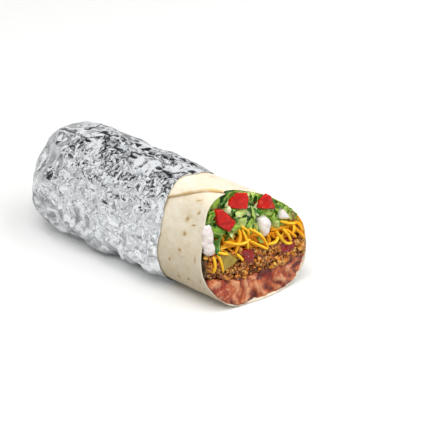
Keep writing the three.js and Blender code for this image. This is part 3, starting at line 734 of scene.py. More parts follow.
def tortilla_mesh():
    """Rings of the sheet: along the outside, over the rim and back along the inside."""
    turns = np.concatenate([np.linspace(0, 360, SHEET_COLUMNS), np.full(len(FLAP_NOSE), 360.0)])
    rings, edges, runs = [], [], []
    nose = np.concatenate([np.zeros(SHEET_COLUMNS), np.ones(len(FLAP_NOSE))])
    nose[SHEET_COLUMNS - 1] = 0.6  # the browned edge starts on the last column

    def add(points, edge, run):
        rings.append(points)
        edges.append(edge)
        runs.append(np.full(len(turns), run))

    for station in (5, 10, 16, 23, 31, 40, 50):
        add(offset_point(station, *sheet_ring(SHOULDER_X)), nose * 0, SHOULDER_X)
    for x in (-66, -54, -42, -30, -18, -8, 0, 6):
        add(offset_point(station_of(x), *sheet_ring(x)), nose, x)
    for share in np.linspace(0, 1, FACE_ROWS) ** 0.85:
        points = slanted_ring(share, *sheet_ring(mix(FACE_ROWS_FROM_X, FLAP_FACE_X, share)))
        points[:, 2] = np.maximum(points[:, 2], underside_at(points[:, 0]))
        add(points, nose, points[:, 0])
    # Over the rim: rounded. Where two layers lie together, a golden-brown line is painted along it, partly
    # painted shade in the seam between them and partly staining.
    outer = rings[-1]
    angles = flap_angle(FLAP_FACE_X) + turns
    inner = offset_point(station_of(FACE_MIDDLE_X), angles, -INNER_DEPTH)
    inner[:, 0] = rim_x(inner, angles)
    wall = np.linalg.norm((outer - inner)[:, 1:], axis=1)
    lip = np.minimum(RIM_WALL / np.maximum(wall, 0.1), 1.0)
    for share in (0.06, 0.2, 0.4, 0.62, 0.82, 0.95, 1.0):
        points = mix(outer, inner, (lip * share)[:, None])
        points[:, 0] += 0.5 - 0.7 * abs(2 * share - 1) ** 3
        # The seam line is colour only: partly painted shade, partly staining.
        seam_shade_and_stain = rim_double(turns) * smooth(share, 0.55, 0.85)
        add(points, np.maximum(nose, seam_shade_and_stain), points[:, 0])
    for share in (0.0, 0.5, 1.0):
        points = mix(mix(outer, inner, lip[:, None]), inner, share)
        points[:, 0] -= 0.2 + RIM_DEPTH * share
        add(points, nose * 0, points[:, 0])
    for share in (0.88, 0.8, 0.65, 0.4, 0.15):
        angles = flap_angle(mix(FACE_ROWS_FROM_X, FLAP_FACE_X, share)) + turns
        points = slanted_ring(share, angles, -INNER_DEPTH)
        add(points, nose * 0, points[:, 0])
    for x in (-12, -40, -66):
        add(offset_point(station_of(x), flap_angle(x) + turns, -INNER_DEPTH), nose * 0, x)
    for station in (45, 28, 14):
        angles = flap_angle(SHOULDER_X) + turns
        add(offset_point(station, angles, -INNER_DEPTH), nose * 0, SHOULDER_X)
    return turns, rings, edges, runs


def closed_skin(first, rings, last):
    """Points and faces of a closed skin through rings, with a pole before and after them."""
    count = len(rings[0])
    points = np.concatenate([[first], *rings, [last]])
    faces = []
    for k in range(count):
        after = (k + 1) % count
        faces.append((0, 1 + after, 1 + k))
        for ring in range(len(rings) - 1):
            a, b = 1 + ring * count, 1 + (ring + 1) * count
            faces.append((a + k, a + after, b + after, b + k))
        base = 1 + (len(rings) - 1) * count
        faces.append((len(points) - 1, base + k, base + after))
    return points, faces


class BURRITO_OT_tortilla(bpy.types.Operator):
    """Rolls the flour tortilla, with its flap, its rim and its toasted spots"""

    bl_idname = "burrito.tortilla"
    bl_label = "Tortilla"

    def execute(self, context):
        turns, rings, edges, runs = tortilla_mesh()
        tip = (TIP_X, 0, AXIS_HEIGHT - TIP_DROP)
        inner_tip = (TIP_X + INNER_DEPTH, 0, AXIS_HEIGHT - TIP_DROP)
        points, faces = closed_skin(tip, rings, inner_tip)
        piece = new_piece("tortilla_sheet", in_row(points), faces)
        set_attribute(piece, "edge", np.concatenate([[0], *edges, [0]]))
        along = np.concatenate([[TIP_X], *runs, [TIP_X]]) * MM
        round_it = np.concatenate([[0], *[np.radians(turns) * SHEET_RADIUS] * len(rings), [0]])
        set_uv(piece, "Sheet", np.stack([along, round_it], -1))
        self.relieve(piece)
        with editing(piece):
            bpy.ops.mesh.remove_doubles(threshold=2e-6)
            bpy.ops.mesh.dissolve_degenerate(threshold=1e-6)
            bpy.ops.mesh.select_all(action="SELECT")
            bpy.ops.mesh.normals_make_consistent(inside=False)
        smooth_shaded(piece, 50)
        handed_over(piece, self.dough(context), ["tortilla"])
        return {"FINISHED"}

    def relieve(self, piece):
        """The sheet's soft unevenness, which fades out under the foil."""
        points = roll_points_of(piece)
        strength = smooth(points[:, 0], 12, 24)
        soft = 0.32 * noise_at(points, 17, 3) + 0.2 * noise_at(points, 7, 9) + 0.1 * noise_at(points, 2.6, 5)
        dents = -np.abs(0.25 * noise_at(points * [1, 1, 0.45], 10, 40)) * smooth(points[:, 0], 20, 40)
        moved = points + vectors_of(piece, "normal") * ((soft + dents) * strength)[:, None]
        moved[:, 2] = np.maximum(moved[:, 2], 0.02)
        set_points(piece, in_row(moved))

    def dough(self, context):
        settings = context.scene.burrito_tortilla
        recipe = Finish(
            "Flour tortilla",
            Roughness=0.62,
            IOR=1.4,
            Subsurface_Weight=0.12,
            Subsurface_Scale=0.004,
            Subsurface_Radius=(1.0, 0.7, 0.4),
        )
        place, sheet = recipe.place(), recipe.sheet("Sheet")
        patches = recipe.mottled(place, 70.0, 0.1, tuple(settings.dough), colour(0.91, 0.83, 0.69))
        flour = recipe.mottled(place, 260.0, 0.35, patches["Colour"], colour(0.985, 0.96, 0.90))
        base = recipe.blend(0.6, patches["Colour"], flour["Colour"])
        brown, tan = 0.0, 0.0
        for x, angle, along, around, turn in TOASTED_SPOTS:
            spot = recipe.group(
                toasted_spot_group(),
                Place=sheet,
                Middle=sheet_place(x, angle),
                Turn=(0, 0, math.radians(turn)),
                Size=(along * MM, around * MM, 1.0),
            )
            brown, tan = recipe.larger(spot["Brown"], brown), recipe.larger(spot["Tan"], tan)
        # Round the far side and below, small spots are scattered.
        aside = recipe.range(recipe.parts(sheet)[1], 0.068, 0.08)
        few = recipe.range(recipe.cells(sheet, 75.0, output="Color"), 0.36, 0.42)
        spots, middle = recipe.times(aside, few), recipe.cells(sheet, 75.0)
        brown = recipe.larger(brown, recipe.times(spots, recipe.range(middle, 0.05, 0.14, 1, 0)))
        tan = recipe.larger(tan, recipe.times(spots, recipe.range(middle, 0.1, 0.26, 1, 0)))
        toasted = recipe.blend(recipe.times(tan, 0.55), base, colour(0.86, 0.74, 0.50))
        browned = recipe.blend(recipe.times(brown, 0.6), toasted, tuple(settings.toast))
        # The golden colour marks the flap's browned edge, and on the two-layer rim the seam line, which is
        # partly painted shade and partly staining.
        edge = recipe.times(recipe.attribute("edge"), recipe.noise(place, 160.0, 2.0))
        golden = recipe.range(edge, 0.2, 0.62, 0.0, 0.85)
        grain = recipe.noise(place, 900.0, 4.0, 0.6)
        blisters = recipe.range(recipe.cells(place, 210.0), 0.0, 0.5)
        height = recipe.math("MULTIPLY_ADD", blisters, 0.5, grain)
        return recipe.done(
            Base_Color=recipe.blend(golden, browned, colour(0.90, 0.76, 0.50)),
            Normal=recipe.bump(height, 0.00028, 0.7),
            Roughness=recipe.range(grain, 0.3, 0.7, 0.55, 0.72),
        )


# ---------- Foil ----------

FOIL_SEED = 11
# Broad folds: turns round the roll, stations for each, start and height. Pleats at the gathered
# end: angle and height, with the station of their middle, their half length and half width.
FOIL_FOLDS = [(5, 46, 0.15, 0.6), (-7, 27, 0.4, 0.45), (9, -63, 0.7, 0.5), (4, -17, 0.55, 0.3)]
FOIL_PLEATS = [(100, 1.2), (214, 2.0), (330, 2.0), (35, 1.4)]
PLEAT_STATION, PLEAT_LENGTH, PLEAT_WIDTH = 38, 22, 17
FOLD_SHARE = 0.75
# Levels of the sheet over the solid foil's wall: in the middle of its facets, where it lies on
# the table, its lowest at the front edge, and its highest, which the tallest pleat reaches.
FOIL_LEVEL = 0.6
FOIL_ON_TABLE = 0.2
FOIL_LOWEST = -0.5
FOIL_HIGHEST = 2.6
FOIL_BRIDGE = 16.0  # degrees that the foil takes to come down from the flap's edge


def fold(phase):
    """A wave of straight slopes between -1 and 1, with a sharp fold at each end."""
    t = phase - np.floor(phase)
    return 4 * np.abs(t - 0.5) - 1


def foil_edge_x(angle):
    """The foil's ragged front edge, which reaches further forward on top."""
    turn = np.mod(np.asarray(angle, float) + 90, 360)
    top_side = within(turn, 145, 178, 192, 206)
    ragged = 0.9 * fold(3 * turn / 360) + 0.7 * fold(8 * turn / 360 + 0.3)
    return FOIL_EDGE_X + FOIL_EDGE_TOP * top_side + ragged


def foil_seat(x, angle):
    """The foil lies on the tortilla and rounds off the step at the flap's edge."""
    turn = np.mod(angle - flap_angle(x), 360)
    over = mix(tortilla_lift(x, 360), tortilla_lift(x, FOIL_BRIDGE), turn / FOIL_BRIDGE)
    return np.where(turn >= FOIL_BRIDGE, tortilla_lift(x, turn), over) + FOIL_GAP


def foil_relief(station, angle):
    """Broad folds all round, and pleats where the end is gathered."""
    relief = sum(h * fold(a * angle / 360 + station / run + start) for a, run, start, h in FOIL_FOLDS)
    along = np.maximum(0, 1 - np.abs(station - PLEAT_STATION) / PLEAT_LENGTH)
    pleats = [
        h * np.maximum(0, 1 - np.abs(np.mod(angle - middle + 180, 360) - 180) / PLEAT_WIDTH)
        for middle, h in FOIL_PLEATS
    ]
    return relief + along * np.max(pleats, axis=0)


class FoilChart:
    """Spreads the roll flat as rings round its tip, with shapes kept, so that it can be meshed."""

    def __init__(self):
        self.station = np.linspace(0.5, 170, 1400)
        ring = roll_point(self.station[:, None], np.arange(0, 360, 15)[None, :])
        centre = ring.mean(axis=1)
        self.radius = np.linalg.norm(ring - centre[:, None, :], axis=-1).mean(axis=1)
        step = np.hypot(np.diff(centre[:, 0]), np.diff(self.radius))
        self.arc = np.concatenate([[0], np.cumsum(step)])
        growth = step / ((self.radius[1:] + self.radius[:-1]) / 2)
        self.spread = np.concatenate([[0], np.cumsum(growth)])

    def flat(self, station, angle):
        """Places of the roll on the flat sheet."""
        reach = np.exp(np.interp(station, self.station, self.spread))
        return np.stack([reach * np.cos(np.radians(angle)), reach * np.sin(np.radians(angle))], -1)

    def back(self, flat):
        """Stations and angles of places on the flat sheet."""
        reach = np.log(np.maximum(np.hypot(flat[:, 0], flat[:, 1]), 1e-6))
        station = np.interp(reach, self.spread, self.station)
        return station, np.degrees(np.arctan2(flat[:, 1], flat[:, 0]))

    def true_length(self, a, b):
        """How long lines on the flat sheet are on the roll."""
        middle = (a + b) / 2
        reach = np.hypot(middle[:, 0], middle[:, 1])
        radius = np.interp(np.log(np.maximum(reach, 1e-6)), self.spread, self.radius)
        return np.hypot(*(a - b).T) * radius / np.maximum(reach, 1e-6)


def crumple_strength(x, angle):
    """How hard the foil is crumpled from place to place."""
    angle = np.mod(angle, 360)
    middle = within(angle, 112, 132, 162, 186) * smooth(x, -78, -50)
    end = smooth(-x, 60, 88)
    edge = smooth(x, foil_edge_x(angle) - 16, foil_edge_x(angle) - 4)
    above = within(angle, 50, 70, 112, 128)
    below = within(angle, 158, 180, 225, 245)
    share = 0.5 + 0.65 * middle - 0.22 * above + 0.4 * below - 0.1 * end - 0.2 * edge
    return np.clip(share, 0.2, 1.3)


def facet_size(x, angle):
    """The least distance between two corners of facets."""
    angle = np.mod(angle, 360)
    middle = within(angle, 118, 134, 160, 180) * smooth(x, -75, -50)
    above = within(angle, 50, 70, 110, 124)
    return 5.4 - 1.6 * middle + 2.2 * above + 1.8 * smooth(-x, 62, 88)


# Long creases: from and to along the roll, from and to round it, degrees from the roll's
# direction and how much they vary, shortest and longest, highest, and how many are tried.
FOIL_CREASES = [
    (-86, 24, 58, 128, 0, 10, 18, 50, 1.6, 900),
    (-92, -40, 70, 135, -25, 18, 12, 30, 1.4, 60),
    (-62, 8, 120, 162, 25, 40, 7, 20, 1.5, 300),
    (-84, 6, 160, 250, 90, 22, 8, 26, 2.2, 340),
    (-106, -60, 60, 250, 40, 60, 10, 26, 1.3, 60),
    (-100, 24, -90, 58, 10, 45, 10, 34, 1.2, 260),
]
CREASE_STEP = 5.0  # between the corners on a crease
CREASE_GAP = 2.3  # between a crease and another one
MOST_CORNERS = 6000
CORNER_TRIES = 9000
CORNER_HEIGHT = 0.6
EDGE_CORNERS = 96
EDGE_SPARE = 2.6  # from the foil's front edge to the nearest corner
FACET_SPLITS = (0.06, 0.05)  # heights of the corners of smaller facets, by their edges' lengths


class FoilCorners:
    """The corners of the facets, each kept at a distance from the others."""

    def __init__(self):
        self.spots = np.full((MOST_CORNERS, 3), 1e4)
        self.station, self.angle, self.height = [], [], []
        self.creases = []
        self.put([0.5], [0.0], [0.0], 0.0)

    def put(self, stations, angles, heights, gap):
        """Adds corners in a row unless one is off the foil or too near to another."""
        stations, angles = np.asarray(stations, float), np.asarray(angles, float)
        spots = roll_point(stations, angles)
        count = len(self.station)
        if (spots[:, 0] > foil_edge_x(angles) - EDGE_SPARE).any():
            return False
        if count and np.linalg.norm(spots[:, None] - self.spots[None, :count], axis=-1).min() < gap:
            return False
        self.spots[count : count + len(spots)] = spots
        self.station += list(stations)
        self.angle += list(angles)
        self.height += list(heights)
        self.creases += [(count + k, count + k + 1) for k in range(len(spots) - 1)]
        return True


def crease_corners(chart, field, random):
    """One long crease: straight on the spread foil, highest in its middle."""
    x0, x1, a0, a1, heading, spread, short, long, high, _ = field
    middle_x, middle_a = random.uniform(x0, x1), random.uniform(a0, a1)
    heading = math.radians(heading + random.uniform(-spread, spread))
    length = random.uniform(short, long)
    steps = max(2, round(length / CREASE_STEP))
    t = np.linspace(-0.5, 0.5, steps + 1)
    bend = random.uniform(-0.05, 0.05) * length * (1 - 4 * t * t)
    along = t * length * math.cos(heading) - bend * math.sin(heading)
    across = t * length * math.sin(heading) + bend * math.cos(heading)
    start = np.interp(middle_x, roll_point(chart.station, 90.0)[:, 0], chart.arc)
    arc = np.clip(start + along, 2.0, chart.arc[-1])
    angles = middle_a + np.degrees(across / np.interp(arc, chart.arc, chart.radius))
    crest = high * random.choice([-0.75, 1.0]) * random.uniform(0.5, 1.0)
    heights = crest * (1 - (2 * np.abs(t)) ** 3) + random.uniform(-0.07, 0.07, len(t))
    return np.interp(arc, chart.arc, chart.station), angles, heights


def base_crumple(chart, random):
    """The large facets: corners along creases and between them, joined to triangles."""
    corners = FoilCorners()
    for field in FOIL_CREASES:
        for _ in range(field[-1]):
            corners.put(*crease_corners(chart, field, random), CREASE_GAP)
    arcs = random.uniform(1, chart.arc[-1], CORNER_TRIES)
    angles = random.uniform(0, 360, CORNER_TRIES)
    stations = np.interp(arcs, chart.arc, chart.station)
    x = roll_point(stations, angles)[:, 0]
    gaps = facet_size(x, angles)
    heights = random.uniform(-CORNER_HEIGHT, CORNER_HEIGHT, CORNER_TRIES) * crumple_strength(x, angles)
    for station, angle, height, gap in zip(stations, angles, heights, gaps):
        corners.put([station], [angle], [height], gap)
    inside = len(corners.station)
    edge_angles = np.linspace(0, 360, EDGE_CORNERS, endpoint=False)
    edge_angles += random.uniform(-1, 1, EDGE_CORNERS)
    edge_x = foil_edge_x(edge_angles) + random.uniform(-0.35, 0.35, EDGE_CORNERS)
    station = np.array(corners.station + list(station_of(edge_x)))
    angle = np.array(corners.angle + list(edge_angles))
    height = np.array(corners.height + [0.0] * EDGE_CORNERS)
    ring = [(inside + k, inside + (k + 1) % EDGE_CORNERS) for k in range(EDGE_CORNERS)]
    flat = [Vector(p) for p in chart.flat(station, angle)]
    found = geometry.delaunay_2d_cdt(flat, ring + corners.creases, [], 1, 1e-6)
    height = np.array([height[same[0]] if same else 0.0 for same in found[3]])
    return np.array([tuple(v) for v in found[0]]), height, np.array([tuple(f) for f in found[2]])


def split_facets(chart, flat, height, triangles, share, random):
    """Splits each triangle in four; the new corners stand off in proportion to the edge."""
    sides = np.concatenate([triangles[:, [0, 1]], triangles[:, [1, 2]], triangles[:, [2, 0]]])
    unique, which = np.unique(np.sort(sides, axis=1), axis=0, return_inverse=True)
    which = which.reshape(-1)
    a, b = flat[unique[:, 0]], flat[unique[:, 1]]
    t = random.uniform(0.36, 0.64, len(unique))
    middles = a + (b - a) * t[:, None]
    station, angle = chart.back(middles)
    x = roll_point(station, angle)[:, 0]
    reach = chart.true_length(a, b) * crumple_strength(x, angle) * share
    between = height[unique[:, 0]] * (1 - t) + height[unique[:, 1]] * t
    used = np.bincount(which, minlength=len(unique))
    draw = np.where(used == 1, 0.0, random.uniform(-1, 1, len(unique)))
    count = len(flat)
    m0, m1, m2 = (count + which.reshape(3, -1))
    c0, c1, c2 = triangles.T
    split = [(c0, m0, m2), (m0, c1, m1), (m2, m1, c2), (m0, m1, m2)]
    triangles = np.concatenate([np.stack(corners, -1) for corners in split])
    return np.concatenate([flat, middles]), np.concatenate([height, between + draw * reach]), triangles


class BURRITO_OT_foil(bpy.types.Operator):
    """Wraps crumpled foil round the back of the roll"""

    bl_idname = "burrito.foil"
    bl_label = "Foil wrap"

    def execute(self, context):
        settings = context.scene.burrito_foil
        random = np.random.default_rng(FOIL_SEED)
        chart = FoilChart()
        flat, height, triangles = base_crumple(chart, random)
        for share in FACET_SPLITS:
            flat, height, triangles = split_facets(chart, flat, height, triangles, share, random)
        station, angle = chart.back(flat)
        x = roll_point(station, angle)[:, 0]
        height += FOLD_SHARE * foil_relief(station, angle)
        height *= settings.crumple
        near_table = smooth(-np.sin(np.radians(angle)), 0.75, 0.9)
        near_edge = smooth(x, foil_edge_x(angle) - 9, foil_edge_x(angle) - 0.5) * 0.85
        level = mix(FOIL_LEVEL + height, FOIL_ON_TABLE, np.maximum(near_table, near_edge))
        level = mix(level, FOIL_LOWEST, smooth(x, foil_edge_x(angle) - 6, foil_edge_x(angle)))
        level = np.clip(level, FOIL_LOWEST, FOIL_HIGHEST)
        points = offset_point(station, angle, foil_seat(x, angle) + FOIL_WALL + level)
        points[:, 2] = np.maximum(points[:, 2], 0.0)
        piece = new_piece("foil_wrap", in_row(points), triangles[:, ::-1])
        with editing(piece):
            bpy.ops.mesh.normals_make_consistent(inside=False)
        apply_modifier(piece, "SOLIDIFY", thickness=settings.thickness, offset=-1.0)
        smooth_shaded(piece, 14)
        handed_over(piece, self.metal(context), ["foil"])
        return {"FINISHED"}

    def metal(self, context):
        recipe = Finish("Crumpled foil", Metallic=1.0, Roughness=0.16)
        place = recipe.place()
        tint = tuple(context.scene.burrito_foil.tint)
        patches = recipe.mottled(place, 120.0, 0.2, tint, colour(0.90, 0.91, 0.92))
        wrinkles = recipe.cells(recipe.scaled(place, (0.5, 1.0, 1.0), (0.2, 0.3, 0.1)), 620.0)
        height = recipe.math("MULTIPLY_ADD", recipe.noise(place, 1500.0), 0.3, wrinkles)
        return recipe.done(
            Base_Color=patches["Colour"],
            Roughness=recipe.range(patches["Share"], 0.0, 1.0, 0.04, 0.1),
            Normal=recipe.bump(height, 0.00022, 0.13),
        )


# ---------- Fillings ----------

FRONT_X = 30.0  # ahead of this, fillings are held inside the mouth
FRONT_DEPTHS = (-9, -3)  # how far ahead of the cut face a layer's front starts, and is full
RIM_SECTORS = 90
SEEN_ASIDE = (0.77, -0.63)  # the camera sees what is 1 mm nearer this far aside, in y and z


def on_face(y, z, ahead):
    """A point of the roll some millimetres ahead of a place on the cut face."""
    return np.array([face_x(y, z) + ahead, y, z])


def front_share(piece):
    """A piece's points, and how far each belongs to its front: 1 there, 0 deep inside."""
    points = roll_points_of(piece)
    return points, smooth(ahead_of_face(points), *FRONT_DEPTHS)


def rim_inset(points):
    """How far inside the mouth's rim points lie, seen along the roll."""
    angle, away = round_axis(points)
    return mouth_reach(angle) - away


def reach_out(moved, share):
    """Spreads a filling's front out to the thin rim of the tortilla, where it touches it."""
    angle, away = round_axis(moved)
    sector = np.round(angle / (360 / RIM_SECTORS)).astype(int) % RIM_SECTORS
    furthest = np.ones(RIM_SECTORS)
    np.maximum.at(furthest, sector, away * (share > 0.5))
    furthest = np.maximum.reduce([np.roll(furthest, -1), furthest, np.roll(furthest, 1)])[sector]
    wall = outside_reach(angle) - 0.5 * RIM_WALL
    stretch = np.where(furthest > wall - 6, wall / furthest - 1, 0)
    spread_out(moved, 1 + stretch * smooth(away / furthest, 0.7, 0.96) * share)


def keep_inside(moved):
    """Holds displaced points clear of the tortilla's inside."""
    angle, away = round_axis(moved)
    reach = mouth_reach(angle)
    outside = (moved[:, 0] > FRONT_X) & (away > reach)
    spread_out(moved, np.where(outside, reach / np.maximum(away, 1e-6), 1.0))


def settle(moved, share, depth):
    """Sets a filling's front back, less so at the rim, and behind what lies on it."""
    moved[:, 0] -= share * mix(0.5, depth, smooth(rim_inset(moved), 1.5, 5.0))
    reach_out(moved, share)
    keep_inside(moved)
    tucked_under(moved, 1.5, -2.0)
    held_back(moved, 0.2)


def uneven_bed(node, voxel, back_x, lumps, depth):
    """A layer's solid with a lumpy front, set back by a depth behind what lies on it."""
    name = node + "_bed"
    front, back = soft_front(node, name, voxel, back_x)
    points, share = front_share(front)
    rough = sum(height * noise_at(points, size, seed) for height, size, seed in lumps)
    moved = points + vectors_of(front, "normal") * (rough * share)[:, None]
    settle(moved, share, depth)
    set_points(front, in_row(moved))
    bed = join([front, back], name)
    smooth_shaded(bed)
    return bed


# Folds of the mash: their lines on the cut face, half widths and heights.
BEAN_FOLDS = [
    ([(-36.2, 21.2), (-34.3, 14.9), (-31.8, 9.9)], 3.4, 0.9),
    ([(-30.4, 20.8), (-27.6, 14.0), (-27.0, 8.0)], 5.6, 1.9),
    ([(-27.2, 25.3), (-25.8, 20.8), (-24.6, 16.7)], 2.4, 1.5),
    ([(-22.7, 16.4), (-22.9, 10.9), (-23.0, 5.6)], 3.2, 1.2),
    ([(-19.0, 16.3), (-16.9, 10.6), (-16.2, 4.3)], 3.6, 1.7),
    ([(-11.8, 16.2), (-9.9, 10.1), (-11.0, 4.4)], 4.0, 1.7),
    ([(-6.1, 17.0), (-3.5, 10.3), (-2.2, 3.9)], 3.8, 1.5),
    ([(-0.2, 10.8), (2.7, 5.0), (5.1, 2.5)], 3.8, 1.2),
    ([(6.2, 8.7), (9.9, 4.6), (13.0, 2.5)], 3.8, 1.2),
    ([(11.2, 13.6), (17.0, 8.6), (22.3, 5.5)], 4.6, 1.5),
    ([(15.0, 16.0), (21.5, 11.8), (27.2, 9.7)], 3.8, 1.2),
    ([(24.5, 19.4), (28.2, 15.2), (30.9, 12.8)], 2.2, 1.2),
    ([(26.7, 22.4), (30.4, 18.2), (32.4, 16.1)], 2.2, 1.2),
    ([(17.5, 16.6), (22.0, 17.0), (26.0, 18.2)], 2.6, 1.4),
]
# Red patches of sauce and skins in the mash: y, z, half width, half height, strength.
RED_PATCHES = [
    (-26.0, 21.0, 2.2, 5.0, 1.0),
    (-28.5, 11.5, 7.5, 9.0, 1.0),
    (7.0, 12.6, 7.0, 2.2, 0.8),
    (-8.2, 7.0, 2.6, 2.2, 0.6),
    (-19.5, 10.0, 1.2, 5.0, 0.5),
    (30.5, 18.0, 4.6, 6.0, 0.2),
    (15.0, 5.4, 2.6, 1.2, 0.4),
]


def fold_height(points, folds):
    """Height of rounded folds at places on the cut face, the highest where they meet."""
    height = np.zeros(len(points))
    for path, half_width, top in folds:
        nearest = np.full(len(points), 1e3)
        for (y0, z0), (y1, z1) in zip(path, path[1:]):
            run = np.array([y1 - y0, z1 - z0])
            apart = points[:, 1:] - [y0, z0]
            t = np.clip(apart @ run / (run @ run), 0, 1)
            nearest = np.minimum(nearest, np.linalg.norm(apart - t[:, None] * run, axis=1))
        swell = np.clip(1 - (nearest / half_width) ** 2, 0, 1)
        height = np.maximum(height, top * swell ** 1.4)
    return height


def front_level(points, ahead):
    """The foremost level of a piece at each point's place on the face, by square millimetres."""
    cells = np.round(points[:, 1:]).astype(int)
    cells -= cells.min(axis=0)
    level = np.full(cells.max(axis=0) + 1, -1e3)
    np.maximum.at(level, (cells[:, 0], cells[:, 1]), ahead)
    return level[cells[:, 0], cells[:, 1]]


def patch_share(points, patches):
    """How strongly each point belongs to one of several oval patches on the face."""
    share = np.zeros(len(points))
    for y, z, half_y, half_z, strength in patches:
        away = np.hypot((points[:, 1] - y) / half_y, (points[:, 2] - z) / half_z)
        share = np.maximum(share, strength * (1 - smooth(away, 0.55, 1.25)))
    return share


class BURRITO_OT_beans(bpy.types.Operator):
    """Spreads the mashed beans along the bottom"""

    bl_idname = "burrito.beans"
    bl_label = "Beans"

    def execute(self, context):
        front, back = soft_front("beans", "beans_mash", 0.0005, 0.055)
        apply_modifier(front, "SMOOTH", factor=0.6, iterations=4)
        points, share = front_share(front)
        wavy = points + np.stack([noise_at(points, 6.5, seed) for seed in (1, 2, 3)], -1) * 3.2
        folds = fold_height(wavy, BEAN_FOLDS)
        streaks = 0.45 - np.abs(noise_at(wavy * [1, 1.9, 0.45], 2.6, 7)) * 1.7
        uneven = 0.85 * folds + 0.5 * streaks + 0.8 * noise_at(points, 4.0, 11)
        inset = rim_inset(points)
        level = 0.9 * smooth(inset, 1.0, 7.0) - 0.5 + uneven * smooth(inset, -0.5, 2.5)
        moved = points.copy()
        moved[:, 0] += share * (level - front_level(points, ahead_of_face(points)))
        reach_out(moved, share)
        set_points(front, in_row(moved))
        apply_modifier(front, "SMOOTH", factor=0.5, iterations=2)
        moved = roll_points_of(front)
        fine = 0.34 * noise_at(moved, 2.0, 2) + 0.2 * noise_at(moved, 1.0, 6)
        moved_along_normals(front, moved, fine * share)
        # Painted light: how high each fold stands, which the mash's colour turns into painted highlights on
        # ridge tops and painted shade in hollows.
        set_attribute(front, "ridge_light_and_hollow_shade", smooth(uneven, -0.1, 1.9) * share)
        piece = join([front, back], "beans_mash")
        set_attribute(piece, "red", patch_share(roll_points_of(piece), RED_PATCHES))
        smooth_shaded(piece)
        handed_over(piece, self.mash(), ["beans"])
        return {"FINISHED"}

    def mash(self):
        recipe = Finish(
            "Mashed beans",
            Roughness=0.34,
            Specular_IOR_Level=0.25,
            Coat_Weight=0.6,
            Coat_Roughness=0.1,
            Subsurface_Weight=0.06,
            Subsurface_Scale=0.002,
            Subsurface_Radius=(1.0, 0.4, 0.25),
        )
        place = recipe.place()
        stretched = recipe.scaled(place, (1, 1.4, 0.7), (0.4, 0, 0))
        paste = recipe.mottled(stretched, 150.0, 0.3, colour(0.63, 0.22, 0.09), colour(0.86, 0.49, 0.28))
        ridge_light_and_hollow_shade = recipe.attribute("ridge_light_and_hollow_shade")
        # Painted shade: hollows are darkened to red-brown. Painted highlight: ridge tops are lightened to
        # pale pink.
        low = recipe.blend(recipe.range(ridge_light_and_hollow_shade, 0.05, 0.45), colour(0.42, 0.11, 0.06), paste["Colour"])
        ridge_highlight = recipe.blend(recipe.range(ridge_light_and_hollow_shade, 0.55, 0.95, 0.0, 0.7), low, colour(0.95, 0.71, 0.53))
        broken = recipe.range(recipe.noise(place, 420.0), 0.3, 0.55)
        red = recipe.times(recipe.attribute("red"), broken)
        sauced = recipe.blend(recipe.times(red, 0.85), ridge_highlight, colour(0.64, 0.18, 0.07))
        specks = recipe.range(recipe.noise(place, 900.0, 3.0, 0.7), 0.58, 0.72)
        return recipe.done(
            Base_Color=recipe.blend(recipe.times(specks, 0.5), sauced, colour(0.46, 0.17, 0.10)),
            Normal=recipe.bump(recipe.moist(place, 420.0), 0.0006, 0.7),
        )


BEEF_SEED = 23
CRUMB_SEED = 8
CRUMB_KINDS = 14
# Crumbs against the tortilla: angles round the roll, size, inset and how far ahead of the face.
RIM_CRUMBS = (-27, -22, -17, -12, -7)
RIM_CRUMB_SIZE, RIM_CRUMB_INSET, RIM_CRUMB_AHEAD = 3.6, 1.7, -0.2
BEEF_TONES = [
    (0.0, colour(0.45, 0.20, 0.07)),
    (0.3, colour(0.72, 0.38, 0.12)),
    (0.6, colour(0.92, 0.57, 0.18)),
    (0.85, colour(1.0, 0.76, 0.34)),
    (1.0, colour(0.60, 0.32, 0.17)),
]


def gathered(parts):
    """Points and faces of many small meshes as one."""
    points, faces, count = [], [], 0
    for corners, own_faces in parts:
        points.append(corners)
        faces += [[count + i for i in face] for face in own_faces]
        count += len(corners)
    return np.concatenate(points), faces


def lumpy_grain(random):
    """Corners and faces of one crumb: a rounded cube, dented at random."""
    places = [place for place in itertools.product(range(3), repeat=3) if place != (1, 1, 1)]
    faces = []
    for axis, side, a, b in itertools.product(range(3), (0, 2), range(2), range(2)):
        face = []
        for corner in ((a, b), (a + 1, b), (a + 1, b + 1), (a, b + 1)):
            place = list(corner)
            place.insert(axis, side)
            face.append(places.index(tuple(place)))
        flip = (side == 2) == (axis == 1)
        faces.append(face[::-1] if flip else face)
    corners = np.array(places, float) - 1
    corners /= np.linalg.norm(corners, axis=1, keepdims=True) ** 0.8
    corners *= random.uniform(0.62, 1.2, (len(corners), 1))
    corners *= random.uniform(0.7, 1.2, (1, 3))
    return corners, faces


def scattered(name, places, sizes):
    """One mesh of many crumbs, each with its own turn."""
    random = np.random.default_rng(CRUMB_SEED)
    kinds = [lumpy_grain(random) for _ in range(CRUMB_KINDS)]
    parts = []
    for place, size in zip(places, sizes):
        corners, faces = kinds[random.integers(len(kinds))]
        turn = np.array(Euler(random.uniform(0, 6.28, 3)).to_matrix())
        parts.append((place + (corners @ turn.T) * size / 2, faces))
    points, faces = gathered(parts)
    return new_piece(name, in_row(points), faces)


